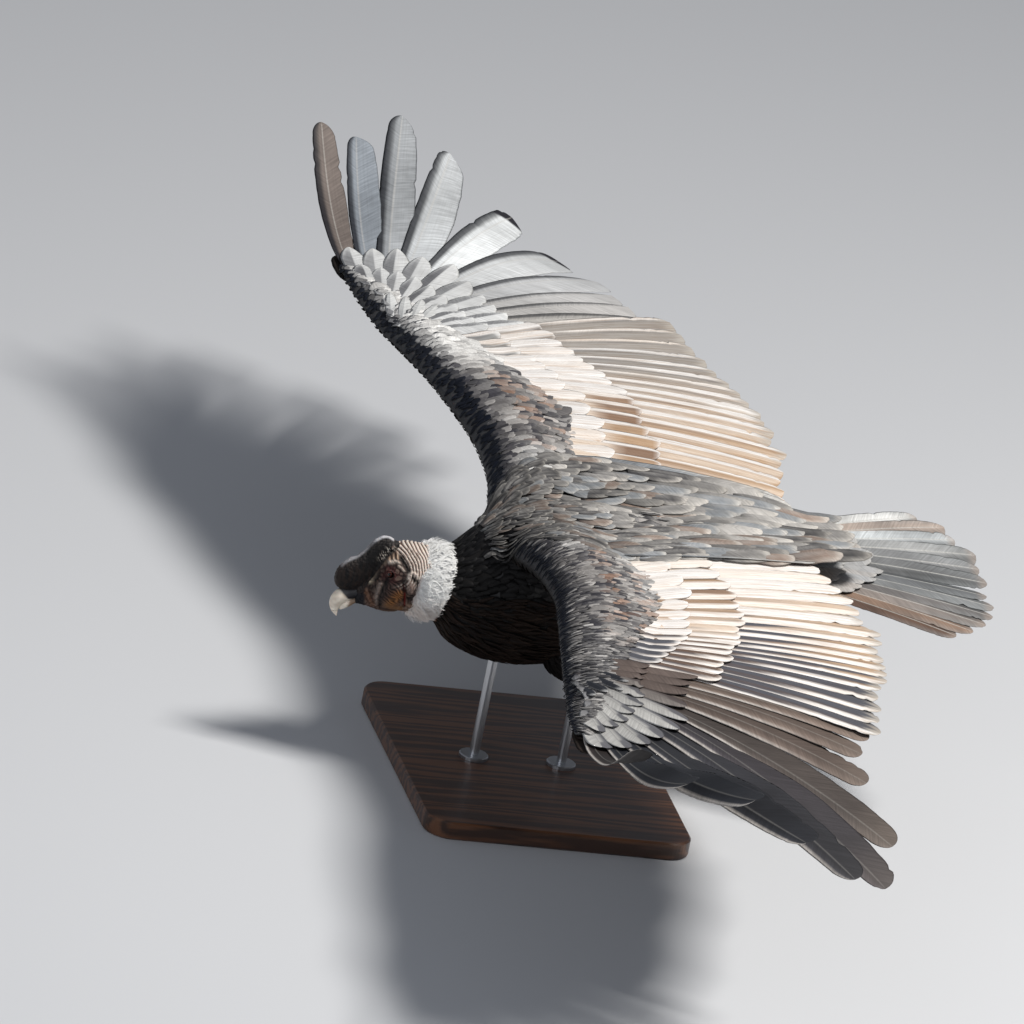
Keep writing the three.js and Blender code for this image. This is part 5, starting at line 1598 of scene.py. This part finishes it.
view = {"azimuth": 73.7, "elevation": 21.4, "roll": 11.7, "distance": 63.33, "lens": 1400, "picture": 1024,
        "shoulderAt": (528.5, 534.6)}
lights = {"key": {"way": (0.25, 0.42, 0.87), "distance": 6, "size": 1.3, "power": 430, "colour": (1.0, 0.975, 0.935)},
          "fill": {"way": (0.8, -0.7, 0.5), "distance": 7, "size": 4, "power": 80, "colour": (0.92, 0.95, 1.0)}}
studio = {"world": (0.72, 0.77, 0.87, 1), "worldPower": 0.24, "floor": (0.6, 0.61, 0.63, 1), "floorSize": 400}


def makeCamera():
    azimuth, elevation, roll = (math.radians(view[k]) for k in ("azimuth", "elevation", "roll"))
    back = Vector((math.cos(elevation) * math.sin(azimuth), -math.cos(elevation) * math.cos(azimuth),
                   math.sin(elevation)))
    level = Vector((0, 0, 1)).cross(back).normalized()
    high = back.cross(level)
    right = level * math.cos(roll) + high * math.sin(roll)
    up = high * math.cos(roll) - level * math.sin(roll)
    data = bpy.data.cameras.new("camera")
    data.lens, data.sensor_width, data.clip_end = view["lens"], 36, 200
    scale = view["distance"] * data.sensor_width / data.lens / view["picture"]
    half = view["picture"] / 2
    shift = right * ((half - view["shoulderAt"][0]) * scale) - up * ((half - view["shoulderAt"][1]) * scale)
    camera = bpy.data.objects.new("camera", data)
    camera.matrix_world = Matrix.Translation(Vector(shoulder) + shift + back * view["distance"]) @ Matrix(
        (right, up, back)).transposed().to_4x4()
    bpy.context.scene.collection.objects.link(camera)
    bpy.context.scene.camera = camera


def areaLight(name, light):
    data = bpy.data.lights.new(name, "AREA")
    data.size, data.energy, data.color = light["size"], light["power"], light["colour"]
    lamp = bpy.data.objects.new(name, data)
    way = Vector(light["way"]).normalized()
    lamp.location = Vector(shoulder) + way * light["distance"]
    lamp.rotation_mode = "QUATERNION"
    lamp.rotation_quaternion = way.to_track_quat("Z", "Y")
    bpy.context.scene.collection.objects.link(lamp)


def makeStage():
    for name, light in lights.items():
        areaLight(name, light)
    world = bpy.data.worlds.new("studio")
    world.use_nodes = True
    background = world.node_tree.nodes["Background"]
    background.inputs[0].default_value, background.inputs[1].default_value = studio["world"], studio["worldPower"]
    bpy.context.scene.world = world
    bpy.context.scene.view_settings.view_transform = "Standard"
    bpy.ops.mesh.primitive_plane_add(size=studio["floorSize"], location=(0, 0, 0))
    floor = bpy.context.object
    floor.name = "floor"
    finish = newMaterial("pale floor")[1]
    floor.data.materials.append(finish(Base_Color=studio["floor"], Roughness=0.9, Specular_IOR_Level=0.2))


makeCamera()
makeStage()
print("camera, light and floor set")

triangles = sum(len(f.vertices) - 2 for o in bpy.data.objects if o.type == "MESH" and not o.hide_render
                for f in o.data.polygons)
print("triangles", triangles)
